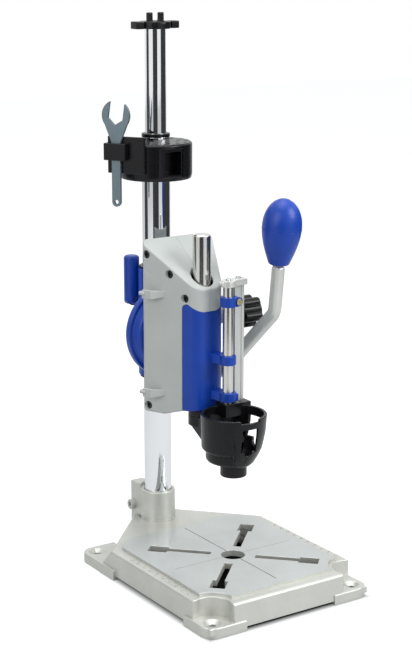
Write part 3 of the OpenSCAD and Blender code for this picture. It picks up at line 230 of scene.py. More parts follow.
def close_material(tree: bpy.types.NodeTree, layers: Layers, metallic: float, specular: float) -> None:
    """Joins a finish's layers to one shader and the material's output.

    Args:
        tree: Node tree of the material.
        layers: Sockets for colour, roughness and height.
        metallic: 1 for bare or plated metal.
        specular: Specular level.
    """
    bump = add_node(tree, "ShaderNodeBump", {"Height": layers.height, "Distance": 1.0, "Strength": 1.0})
    shader = add_node(tree, "ShaderNodeBsdfPrincipled", {
        "Base Color": layers.colour, "Metallic": metallic, "Roughness": layers.roughness,
        "Specular IOR Level": specular, "Normal": bump.outputs["Normal"]})
    add_node(tree, "ShaderNodeOutputMaterial", {"Surface": shader.outputs["BSDF"]})


@dataclass(frozen=True)
class MilledCasting:
    """A casting with one face milled flat at a height, and cast all over elsewhere.

    Attributes:
        name: Material name.
        cast: Finish of the casting.
        milled: Finish of the milled face.
        level: Height of the milled face.
        depth: How far above and below it the milled finish reaches.
    """

    name: str
    cast: Finish
    milled: Finish
    level: float
    depth: float = 0.4

    def build(self) -> bpy.types.Material:
        """Makes the material.

        Returns:
            A material that has the milled finish at the level, within its depth.
        """
        material, tree = new_material(self.name)
        place = add_node(tree, "ShaderNodeTexCoord").outputs["Object"]
        split = add_node(tree, "ShaderNodeSeparateXYZ", {"Vector": place})
        top = add_node(tree, "ShaderNodeMath", {
            0: split.outputs["Z"], 1: self.level * MM, 2: self.depth * MM}, operation="COMPARE")
        low = self.cast.lay(tree, place)
        high = self.milled.lay(tree, place)
        colour = add_node(tree, "ShaderNodeMix", {
            "Factor": top.outputs["Value"], "A": low.colour, "B": high.colour}, data_type="RGBA")
        gloss = add_node(tree, "ShaderNodeMix", {
            "Factor": top.outputs["Value"], "A": low.roughness, "B": high.roughness}, data_type="FLOAT")
        height = add_node(tree, "ShaderNodeMix", {
            "Factor": top.outputs["Value"], "A": low.height, "B": high.height}, data_type="FLOAT")
        layers = Layers(colour.outputs["Result"], gloss.outputs["Result"], height.outputs["Result"])
        close_material(tree, layers, self.cast.metallic, self.cast.specular)
        return material


# Real grains of these finishes are too fine to show in the render, so all are drawn coarser

# Tumbled sand casting: pale and soft, with a fine pitted skin that breaks up reflections
CAST_ALUMINIUM = Finish(
    "tumbled_sand_cast_aluminium", "#C9CAC4", roughness=0.46, metallic=0.6, grain=Grain.SAND_CAST,
    grain_mm=3.0, height_mm=0.16, tone=0.05, tone_mm=26, spread=0.07)
# Milled face: cooler and smoother than the casting round it, with the faintest cutter mottling
MILLED_ALUMINIUM = Finish(
    "face_milled_aluminium", "#C0C4C3", roughness=0.33, metallic=0.6, grain=Grain.STAMPED,
    grain_mm=1.6, height_mm=0.012, tone=0.05, tone_mm=34, spread=0.05)
# The base as it leaves the mill: cast all over, milled on the table
BASE_METAL = MilledCasting(
    "sand_cast_aluminium_with_milled_table", CAST_ALUMINIUM, MILLED_ALUMINIUM, TABLE_Z)
# Painted shade in the long engraved groove: a dark strip laid in its floor
LONG_GROOVE_SHADE = Finish(
    "painted_shade_in_long_groove", "#3B3F40", roughness=0.6, metallic=0.3, grain=Grain.STAMPED,
    grain_mm=0.6, height_mm=0.01, tone=0.15, tone_mm=5)
# Painted shade in the cross groove, which the light runs along: only a shade darker than the table
CROSS_GROOVE_SHADE = Finish(
    "painted_shade_in_cross_groove", "#9AA0A1", roughness=0.5, metallic=0.5, grain=Grain.STAMPED,
    grain_mm=0.6, height_mm=0.01, tone=0.1, tone_mm=5)
# Die casting with a clear satin lacquer: smooth, pale grey, soft highlights
SATIN_DIE_CAST = Finish(
    "satin_lacquered_die_cast_alloy", "#D2D4D0", roughness=0.34, metallic=0.4, grain=Grain.MOULDED,
    grain_mm=0.8, height_mm=0.012, tone=0.03, tone_mm=30)
# Hard chromium on ground tube: mirror bands that run straight up the tube
CHROME = Finish(
    "hard_chromium_plate", "#E6E8EA", roughness=0.05, metallic=1.0, grain=Grain.DRAWN,
    grain_mm=1.5, height_mm=0.0002, tone=0.01, tone_mm=60, spread=0.015)
# Centreless ground steel: the same bands, blurred by the grinding
GROUND_STEEL = Finish(
    "centreless_ground_steel", "#D3D2CE", roughness=0.17, metallic=1.0, grain=Grain.DRAWN,
    grain_mm=0.8, height_mm=0.0005, tone=0.03, tone_mm=30, spread=0.04)
# Zinc on turned steel: bluish, a little cloudy
ZINC = Finish(
    "zinc_plated_steel", "#AEB4B8", roughness=0.34, metallic=1.0, grain=Grain.STAMPED,
    grain_mm=0.7, height_mm=0.01, tone=0.08, tone_mm=6)
# Zinc flake coat of the pinch bolt: pale, matt and nearly even
BRIGHT_ZINC = Finish(
    "zinc_flake_coated_steel", "#C6C8C4", roughness=0.52, metallic=0.5, grain=Grain.STAMPED,
    grain_mm=0.7, height_mm=0.01, tone=0.08, tone_mm=6)
# Blanked and plated sheet: dull blue grey with rolled mottling
STAMPED_STEEL = Finish(
    "plated_stamped_steel", "#6C7A82", roughness=0.45, metallic=0.7, grain=Grain.STAMPED,
    grain_mm=1.2, height_mm=0.008, tone=0.06, tone_mm=9)
# Black oxide on screws: nearly black, slightly oily
BLACK_OXIDE = Finish(
    "black_oxide_steel", "#202123", roughness=0.4, metallic=0.5, grain=Grain.STAMPED,
    grain_mm=0.6, height_mm=0.01, tone=0.1, tone_mm=5)
# Black nylon: near black, an even etched grain with a satin sheen
BLACK_NYLON = Finish(
    "black_moulded_nylon", "#0E0E11", roughness=0.29, metallic=0.0, grain=Grain.MOULDED,
    grain_mm=0.9, height_mm=0.012, tone=0.15, tone_mm=16, spread=0.06, specular=0.27)
# Blue ABS: strong royal blue with a soft satin highlight
BLUE_ABS = Finish(
    "royal_blue_moulded_abs", "#0A3FA6", roughness=0.37, metallic=0.0, grain=Grain.MOULDED,
    grain_mm=0.9, height_mm=0.012, tone=0.07, tone_mm=22, spread=0.05, specular=0.42)
# Grey ABS: pale warm grey, a dry etched grain that holds no sharp highlight
GREY_ABS = Finish(
    "pale_grey_moulded_abs", "#BCC1BE", roughness=0.47, metallic=0.0, grain=Grain.MOULDED,
    grain_mm=0.9, height_mm=0.018, tone=0.03, tone_mm=26)
# Sintered bronze bush: brown gold, porous
BRONZE = Finish(
    "sintered_bronze", "#A98655", roughness=0.42, metallic=1.0, grain=Grain.STAMPED,
    grain_mm=0.5, height_mm=0.012, tone=0.1, tone_mm=4)
# Turned brass screw: pale gold
BRASS = Finish(
    "turned_brass", "#DCCB92", roughness=0.27, metallic=1.0, grain=Grain.STAMPED,
    grain_mm=0.4, height_mm=0.004, tone=0.05, tone_mm=4)


class Finishes:
    """Makes each finish once and hands it out."""

    def __init__(self) -> None:
        """Starts with nothing made."""
        self._made: dict[str, bpy.types.Material] = {}

    def get(self, finish: Finish | MilledCasting) -> bpy.types.Material:
        """Returns the material of a finish, made at its first use."""
        if finish.name not in self._made:
            self._made[finish.name] = finish.build()
        return self._made[finish.name]


def new_group(name: str) -> tuple[bpy.types.NodeTree, bpy.types.NodeSocket]:
    """Makes an empty modifier group and returns it with the geometry that comes in."""
    tree = bpy.data.node_groups.new(name, "GeometryNodeTree")
    tree.interface.new_socket("Geometry", in_out="INPUT", socket_type="NodeSocketGeometry")
    tree.interface.new_socket("Geometry", in_out="OUTPUT", socket_type="NodeSocketGeometry")
    return tree, add_node(tree, "NodeGroupInput").outputs[0]


def smooth_group(angle_deg: float) -> bpy.types.NodeTree:
    """Makes the modifier group that shades smooth up to an angle.

    Args:
        angle_deg: Edges that turn by more than this stay sharp.

    Returns:
        A geometry node group.
    """
    tree, geometry = new_group("smooth_to_angle")
    angle = add_node(tree, "GeometryNodeInputMeshEdgeAngle")
    below = add_node(tree, "FunctionNodeCompare", {
        0: angle.outputs["Unsigned Angle"], 1: math.radians(angle_deg)},
        data_type="FLOAT", operation="LESS_THAN")
    faces = add_node(tree, "GeometryNodeSetShadeSmooth", {
        "Geometry": geometry, "Shade Smooth": True}, domain="FACE")
    edges = add_node(tree, "GeometryNodeSetShadeSmooth", {
        "Geometry": faces.outputs[0], "Shade Smooth": below.outputs["Result"]}, domain="EDGE")
    add_node(tree, "NodeGroupOutput", {0: edges.outputs[0]})
    return tree


@dataclass(frozen=True)
class Slab:
    """A layer of space.

    Attributes:
        along: Direction that the layer is measured along.
        mid: Distance of its middle along that direction.
        half: Half of its thickness.
    """

    along: tuple[float, float, float]
    mid: float
    half: float


@dataclass(frozen=True)
class Zone:
    """Where a node's edges get a rounding of their own.

    Attributes:
        slabs: Layers that an edge's middle has to lie in, all at once.
        convex: Share of the full rounding that outer edges get there.
        concave: Share that inner edges get there.
    """

    slabs: tuple[Slab, ...]
    convex: float
    concave: float = 0.0


@dataclass(frozen=True)
class Rounding:
    """How a node's edges are rounded.

    Attributes:
        width: Full rounding in millimetres, 0 for none.
        segments: Steps across it.
        convex: Share of it that outer edges get.
        concave: Share of it that inner edges get, as a fillet.
        zones: Places that differ, the later one winning.
    """

    width: float
    segments: int = 2
    convex: float = 1.0
    concave: float = 0.0
    zones: tuple[Zone, ...] = ()

    def plan(self, name: str) -> bpy.types.NodeTree:
        """Makes the modifier group that writes each edge's share of the rounding.

        Args:
            name: Name of the group.

        Returns:
            A geometry node group.
        """
        tree, geometry = new_group(name)
        angle = add_node(tree, "GeometryNodeInputMeshEdgeAngle")
        sharp = add_node(tree, "ShaderNodeMath", {
            0: angle.outputs["Unsigned Angle"], 1: math.radians((SHARP_DEG + FOLDED_DEG) / 2),
            2: math.radians((FOLDED_DEG - SHARP_DEG) / 2)}, operation="COMPARE")
        outer = add_node(tree, "ShaderNodeMath", {
            0: angle.outputs["Signed Angle"], 1: 0.0}, operation="GREATER_THAN")
        place = add_node(tree, "GeometryNodeInputPosition").outputs[0]
        share = self.choose(tree, outer, self.concave, self.convex)
        for zone in self.zones:
            inside = None
            for slab in zone.slabs:
                along = add_node(tree, "ShaderNodeVectorMath", {
                    0: place, 1: slab.along}, operation="DOT_PRODUCT")
                within = add_node(tree, "ShaderNodeMath", {
                    0: along.outputs["Value"], 1: slab.mid * MM, 2: slab.half * MM}, operation="COMPARE")
                if inside is not None:
                    within = add_node(tree, "ShaderNodeMath", {
                        0: inside.outputs["Value"], 1: within.outputs["Value"]}, operation="MULTIPLY")
                inside = within
            share = self.choose(tree, inside, share, self.choose(tree, outer, zone.concave, zone.convex))
        used = add_node(tree, "ShaderNodeMath", {0: share, 1: sharp.outputs["Value"]}, operation="MULTIPLY")
        store = add_node(tree, "GeometryNodeStoreNamedAttribute", {
            "Geometry": geometry, "Name": "bevel_weight_edge", "Value": used.outputs["Value"]},
            data_type="FLOAT", domain="EDGE")
        add_node(tree, "NodeGroupOutput", {0: store.outputs[0]})
        return tree

    @staticmethod
    def choose(tree: bpy.types.NodeTree, test: bpy.types.Node, no: float | bpy.types.NodeSocket,
               yes: float | bpy.types.NodeSocket) -> bpy.types.NodeSocket:
        """Adds a choice between two numbers.

        Args:
            tree: Node tree that gets it.
            test: Node whose value is 1 for yes.
            no: Number or socket for no.
            yes: Number or socket for yes.

        Returns:
            The socket of the chosen number.
        """
        pick = add_node(tree, "ShaderNodeMix", {
            "Factor": test.outputs["Value"], "A": no, "B": yes}, data_type="FLOAT")
        return pick.outputs["Result"]


@dataclass
class Workshop:
    """What every sub-assembly needs: the frame's nodes, the finishes and the edge tools."""

    nodes: dict[str, bpy.types.Object]
    finishes: Finishes = field(default_factory=Finishes)
    smooth: bpy.types.NodeTree = field(default_factory=lambda: smooth_group(SHARP_DEG))

    def soften(self, obj: bpy.types.Object, rounding: Rounding) -> None:
        """Rounds an object's edges and shades its curves smooth.

        Args:
            obj: Object that gets the modifiers.
            rounding: How far its edges are rounded.
        """
        weld = obj.modifiers.new("weld", "WELD")
        weld.merge_threshold = WELD_MM * MM
        flat = obj.modifiers.new("join_flat_faces", "DECIMATE")
        flat.decimate_type = "DISSOLVE"
        flat.angle_limit = math.radians(FLAT_DEG)
        if rounding.width > 0:
            plan = obj.modifiers.new("edge_plan", "NODES")
            plan.node_group = rounding.plan(f"edge_plan_{obj.name}")
            bevel = obj.modifiers.new("edge_round", "BEVEL")
            bevel.width = rounding.width * MM
            bevel.segments = rounding.segments
            bevel.limit_method = "WEIGHT"
            bevel.use_clamp_overlap = False
        shade = obj.modifiers.new("smooth_to_angle", "NODES")
        shade.node_group = self.smooth
        level = obj.modifiers.new("flat_faces_stay_flat", "WEIGHTED_NORMAL")
        level.keep_sharp = True
        level.weight = FLAT_WEIGHT

    def dress(self, node: str, finish: Finish | MilledCasting, rounding: Rounding) -> None:
        """Gives a CAD node its finish and rounded edges.

        Args:
            node: Name of the CAD node.
            finish: Finish that it gets.
            rounding: How far its edges are rounded.
        """
        obj = self.nodes[node]
        material = self.finishes.get(finish)
        if not obj.material_slots:
            obj.data.materials.append(material)
        for slot in obj.material_slots:
            slot.material = material
        self.soften(obj, rounding)
        log.info("dressed %s as %s", node, finish.name)

    def piece(self, name: str, mesh: bmesh.types.BMesh, finish: Finish, body: str) -> bpy.types.Object:
        """Turns a finished bmesh into a piece that rides on a body.

        Args:
            name: Name of the piece.
            mesh: Its shape, freed here.
            finish: Its finish.
            body: CAD body that it moves with.

        Returns:
            The new object.
        """
        data = bpy.data.meshes.new(name)
        mesh.to_mesh(data)
        mesh.free()
        data.materials.append(self.finishes.get(finish))
        obj = bpy.data.objects.new(name, data)
        bpy.context.scene.collection.objects.link(obj)
        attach(obj, body)
        log.info("made %s on %s", name, body)
        return obj


def add_block(mesh: bmesh.types.BMesh, low: Vector, high: Vector) -> None:
    """Adds a box between two corners to a bmesh.

    Args:
        mesh: Mesh that gets the box.
        low: Lowest corner in metres.
        high: Highest corner in metres.
    """
    size = high - low
    place = Matrix.Translation((low + high) / 2) @ Matrix.Diagonal((size.x, size.y, size.z, 1.0))
    bmesh.ops.create_cube(mesh, size=1.0, matrix=place)


def add_digits(mesh: bmesh.types.BMesh, digits: str, size: float, rise: float, place: Matrix) -> None:
    """Adds raised digits to a bmesh.

    Args:
        mesh: Mesh that gets them.
        digits: The digits.
        size: Their type size in millimetres.
        rise: How far they reach above and below their middle.
        place: Where their middle goes, and which way they face.
    """
    curve = bpy.data.curves.new("digits", "FONT")
    curve.body = digits
    curve.size = size * MM
    curve.extrude = rise * MM
    curve.align_x = "CENTER"
    curve.align_y = "CENTER"
    obj = bpy.data.objects.new("digits", curve)
    data = bpy.data.meshes.new_from_object(obj)
    data.transform(place)
    mesh.from_mesh(data)
    bpy.data.meshes.remove(data)
    bpy.data.objects.remove(obj)
    bpy.data.curves.remove(curve)


def add_ring(mesh: bmesh.types.BMesh, radius: float, wire: float, place: Matrix) -> None:
    """Adds a thin round ring to a bmesh.

    Args:
        mesh: Mesh that gets it.
        radius: Ring radius in millimetres.
        wire: Radius of its section in millimetres.
        place: Ring's middle and axis.
    """
    around, across = 72, 8
    loops = []
    for i in range(around):
        turn = 2 * math.pi * i / around
        loop = []
        for j in range(across):
            lean = 2 * math.pi * j / across
            out = radius + wire * math.cos(lean)
            point = mm(out * math.cos(turn), out * math.sin(turn), wire * math.sin(lean))
            loop.append(mesh.verts.new(place @ point))
        loops.append(loop)
    for a, b in zip(loops, loops[1:] + loops[:1]):
        for j in range(across):
            face = mesh.faces.new((a[j], b[j], b[(j + 1) % across], a[(j + 1) % across]))
            face.smooth = True


@dataclass
class BaseCasting:
    """Cast base with its milled table, engraved lines and ruled ledges."""

    shop: Workshop
    table_half: float = 72.5
    ledge: float = 25.5
    drill_y: float = -19.0
    hole_r: float = 10.5
    line_half: float = 0.36
    line_low: float = 27.45
    line_high: float = 27.6
    line_front: float = 63.5
    line_rear: float = 77.5
    line_side: float = 61.5
    rule_from: float = -66.0
    rule_to: float = 24.0
    tick_step: float = 5.0
    tick_w: float = 1.0
    tick_in: float = 0.9
    tick_long: float = 2.4
    tick_short: float = 1.5
    tick_root: float = 0.2
    tick_rise: float = 0.5
    digit_in: float = 5.4
    digit_size: float = 4.6
    digit_mid: float = 0.15
    digit_rise: float = 0.35
    # Full on the ledge's rim, half or less on feet and socket, none in the engraved lines
    rounding: Rounding = Rounding(2.6, 4, 0.2, 0.0, (
        Zone((Slab(Z, 25.5, 0.2),), 1.0),
        Zone((Slab(Z, 9.5, 0.3),), 0.48),
        Zone((Slab(Z, 55.5, 2.0),), 0.5),
        Zone((Slab(X, 0.0, 0.7), Slab(Z, TABLE_Z, 1.0)), 0.0),
        Zone((Slab(Y, -19.0, 0.7), Slab(Z, TABLE_Z, 1.0)), 0.0),
        Zone((Slab(X, -73.0, 17.0), Slab(Y, -94.5, 17.0), Slab(Z, 19.5, 7.5)), 0.35),
        Zone((Slab(X, 73.0, 17.0), Slab(Y, -94.5, 17.0), Slab(Z, 19.5, 7.5)), 0.35),
        *(Zone((Slab(X, x, 8.0), Slab(Y, y, 8.0), Slab(Z, 8.0, 3.0)), 0.1)
          for x in (-73.0, 73.0) for y in (-94.5, 94.5))))

    def build(self) -> None:
        """Dresses the casting and the bolt that pinches its socket."""
        self.shop.dress("base_casting", BASE_METAL, self.rounding)
        for node in ("socket_bolt", "socket_nut"):
            self.shop.dress(node, BRIGHT_ZINC, Rounding(0.35))
        self.rule()
        # Painted shade in the engraved grooves
        self.lay_groove_shade()

    def rule(self) -> None:
        """Raises the rulers' division lines and numbers on the two side ledges."""
        mesh = bmesh.new()
        count = int((self.rule_to - self.rule_from) / self.tick_step)
        for side in (-1, 1):
            for i in range(count + 1):
                is_whole = i % 2 == 0
                length = self.tick_long if is_whole else self.tick_short
                y = self.rule_from + i * self.tick_step
                inner = self.table_half + self.tick_in
                ends = sorted((side * inner, side * (inner + length)))
                add_block(mesh, mm(ends[0], y - self.tick_w / 2, self.ledge - self.tick_root),
                          mm(ends[1], y + self.tick_w / 2, self.ledge + self.tick_rise))
                if is_whole:
                    middle = mm(side * (self.table_half + self.digit_in), y, self.ledge + self.digit_mid)
                    turn = Matrix.Rotation(side * math.pi / 2, 4, "Z")
                    place = Matrix.Translation(middle) @ turn
                    add_digits(mesh, str(i // 2), self.digit_size, self.digit_rise, place)
        self.shop.piece("ruler_marks", mesh, CAST_ALUMINIUM, "stand")

    def lay_groove_shade(self) -> None:
        """Lays painted shade in the floors of the two engraved grooves, dark in the long one and faint in
        the cross one.
        """
        mesh = bmesh.new()
        for start, end in ((-self.line_front, -self.hole_r), (self.hole_r, self.line_rear)):
            add_block(mesh, mm(-self.line_half, self.drill_y + start, self.line_low),
                      mm(self.line_half, self.drill_y + end, self.line_high))
        self.shop.piece("long_groove_painted_shade", mesh, LONG_GROOVE_SHADE, "stand")
        mesh = bmesh.new()
        for start, end in ((-self.line_side, -self.hole_r), (self.hole_r, self.line_side)):
            add_block(mesh, mm(start, self.drill_y - self.line_half, self.line_low),
                      mm(end, self.drill_y + self.line_half, self.line_high))
        self.shop.piece("cross_groove_painted_shade", mesh, CROSS_GROOVE_SHADE, "stand")


@dataclass
class ColumnAndMast:
    """Chromed column and mast, with the bit ring, the hanger and the spanner."""

    shop: Workshop

    def build(self) -> None:
        """Dresses the tubes and what they carry."""
        for node in ("column_tube", "mast_tube"):
            self.shop.dress(node, CHROME, Rounding(0.25))
        for node, width in (("tube_bushing", 0.5), ("accessory_ring", 0.6), ("spanner_holder", 0.7),
                            ("tool_hanger", 0.9), ("mast_guide", 0.3)):
            self.shop.dress(node, BLACK_NYLON, Rounding(width, 3))
        self.shop.dress("spanner", STAMPED_STEEL, Rounding(0.4))


@dataclass
class Carriage:
    """Blue bracket that slides and turns on the column, with its cam clamp."""

    shop: Workshop

    def build(self) -> None:
        """Dresses the bracket, its liner and its clamp."""
        self.shop.dress("column_liner", BLACK_NYLON, Rounding(0.3))
        self.shop.dress("column_bracket", BLUE_ABS, Rounding(1.2, 3, 1.0, 0.6))
        self.shop.dress("clamp_handle", BLUE_ABS, Rounding(0.8, 3))
        for node in ("clamp_bolt", "clamp_nut", "clamp_pin", "pivot_bolt"):
            self.shop.dress(node, ZINC, Rounding(0.3))


@dataclass
class Head:
    """Grey housing with its blue covers and what is inside."""

    shop: Workshop
    # Widest along the roof slope, the bottom edges and the nose, slight at the throat and the seam
    shell: Rounding = Rounding(2.4, 3, 0.15, 0.0, (
        Zone((Slab((0.0, -0.5719, 0.8203), 203.8, 0.6),), 0.6),
        Zone((Slab(Z, 144.5, 0.4),), 1.0),
        Zone((Slab(NOSE_NORMAL, NOSE_PLANE, 0.3), Slab(Y, 41.7, 1.6)), 1.0),
        Zone((Slab(X, 0.0, 10.5), Slab(Y, 31.0, 10.5), Slab(Z, 268.0, 14.0)), 0.25),
        Zone((Slab((0.0, -0.44, 0.898), 214.84, 1.1),), 0.0),
        Zone((Slab(X, 0.0, 0.1),), 0.12)))
    cover: Rounding = Rounding(1.6, 3, 0.35, 0.0, (
        Zone((Slab(Z, 150.0, 3.0),), 1.0),
        Zone((Slab(X, 0.0, 0.1),), 0.16)))

    def build(self) -> None:
        """Dresses the shells and the bearings."""
        for node in ("housing_left", "housing_right"):
            self.shop.dress(node, GREY_ABS, self.shell)
        for node in ("cover_left", "cover_right"):
            self.shop.dress(node, BLUE_ABS, self.cover)
        for node in ("housing_screws", "bush_screw"):
            self.shop.dress(node, BLACK_OXIDE, Rounding(0.3))
        for node in ("upper_bush", "lower_bush", "feed_bushes"):
            self.shop.dress(node, BRONZE, Rounding(0.3))
        for node in ("pivot_washer", "index_ball", "index_spring", "return_spring"):
            self.shop.dress(node, ZINC, Rounding(0.0))


@dataclass
class Feed:
    """Cranked lever, its shaft and its sector."""

    shop: Workshop
    arm: Rounding = Rounding(3.4, 5, 1.0, 0.0, (
        Zone((Slab(Y, 59.4, 12.5), Slab(Z, 177.5, 12.5)), 0.25),))
    neck: tuple[float, float, float] = (50.0, -13.56, 282.0)
    lean_deg: float = 7.0
    joint_up: float = 32.7
    joint_r: float = 17.25
    joint_wire: float = 0.22

    def build(self) -> None:
        """Dresses the lever and the gear train."""
        self.shop.dress("lever_arm", SATIN_DIE_CAST, self.arm)
        self.shop.dress("lever_knob", BLUE_ABS, Rounding(0.6))
        for node in ("feed_shaft", "sector_gear", "lever_screw"):
            self.shop.dress(node, ZINC, Rounding(0.3))
        self.parting_line()

    def parting_line(self) -> None:
        """Raises the fine line where the knob's mould halves met."""
        mesh = bmesh.new()
        place = (Matrix.Translation(mm(*self.neck)) @ Matrix.Rotation(math.radians(self.lean_deg), 4, "X")
                 @ Matrix.Translation(mm(0.0, 0.0, self.joint_up)))
        add_ring(mesh, self.joint_r, self.joint_wire, place)
        self.shop.piece("knob_parting_line", mesh, BLUE_ABS, "feed")


@dataclass
class Quill:
    """Quill with the tool cup, the depth gauge and the lock.

    Attributes:
        shop: Frame nodes, finishes and edge tools.
        axis_y: Depth of the quill's axis.
        bore_r: Inner radius of the hub's collar, clear of the quill.
        hub_r: Its outer radius.
        collar_low: Height of its lower face, inside the hub.
        collar_steps: Steps round it.
        gap: Room between it and the housing.
        front_height: Height of the housing's front underside at depth 0.
        front_fall: How far that falls for each millimetre of depth.
        rib_half: Half the width of the rib under the hub.
        rib: Depth and height of the rib's corners.
    """

    shop: Workshop
    axis_y: float = 31.0
    bore_r: float = 8.3
    hub_r: float = 11.9
    collar_low: float = 145.2
    collar_steps: int = 48
    gap: float = 0.8
    front_height: float = 153.93
    front_fall: float = 0.107
    rib_half: float = 8.0
    rib: tuple[tuple[float, float], ...] = ((40.0, 138.0), (40.0, 136.0), (8.0, 118.5), (8.0, 136.0))

    def build(self) -> None:
        """Dresses the quill and all that it carries."""
        for node in ("quill_shaft", "depth_rod"):
            self.shop.dress(node, GROUND_STEEL, Rounding(0.4, 3))
        self.shop.dress("tool_cup", BLACK_NYLON, Rounding(0.7, 3))
        for node in ("depth_bar", "gauge_cap"):
            self.shop.dress(node, SATIN_DIE_CAST, Rounding(0.5))
        self.shop.dress("stop_collar", BLUE_ABS, Rounding(0.0))
        self.shop.dress("stop_screw", BRASS, Rounding(0.3))
        self.shop.dress("lock_knob", BLACK_NYLON, Rounding(0.6))
        for node in ("cup_screw", "cap_screws", "lock_stud"):
            self.shop.dress(node, ZINC, Rounding(0.2))
        self.fairing()

    def underside(self, y: float) -> float:
        """Returns the height of the housing's slanted underside at a depth."""
        front = self.front_height - self.front_fall * y
        rear = (NOSE_PLANE - NOSE_NORMAL[1] * y) / NOSE_NORMAL[2]
        return min(front, rear)

    def fairing(self) -> None:
        """Raises the cup's hub to just under the housing, and puts the rib below it."""
        mesh = bmesh.new()
        corners = ((self.bore_r, False), (self.hub_r, False), (self.hub_r, True), (self.bore_r, True))
        loops = []
        for i in range(self.collar_steps):
            turn = 2 * math.pi * i / self.collar_steps
            loop = []
            for radius, is_top in corners:
                y = self.axis_y + radius * math.sin(turn)
                z = self.underside(y) - self.gap if is_top else self.collar_low
                loop.append(mesh.verts.new(mm(radius * math.cos(turn), y, z)))
            loops.append(loop)
        left = [mesh.verts.new(mm(-self.rib_half, y, z)) for y, z in self.rib]
        right = [mesh.verts.new(mm(self.rib_half, y, z)) for y, z in self.rib]
        for a, b in list(zip(loops, loops[1:] + loops[:1])) + [(left, right)]:
            for j in range(4):
                mesh.faces.new((a[j], b[j], b[(j + 1) % 4], a[(j + 1) % 4]))
        mesh.faces.new(left)
        mesh.faces.new(right)
        bmesh.ops.recalc_face_normals(mesh, faces=mesh.faces)
        fairing = self.shop.piece("hub_fairing", mesh, BLACK_NYLON, "quill")
        self.shop.soften(fairing, Rounding(0.7, 3))


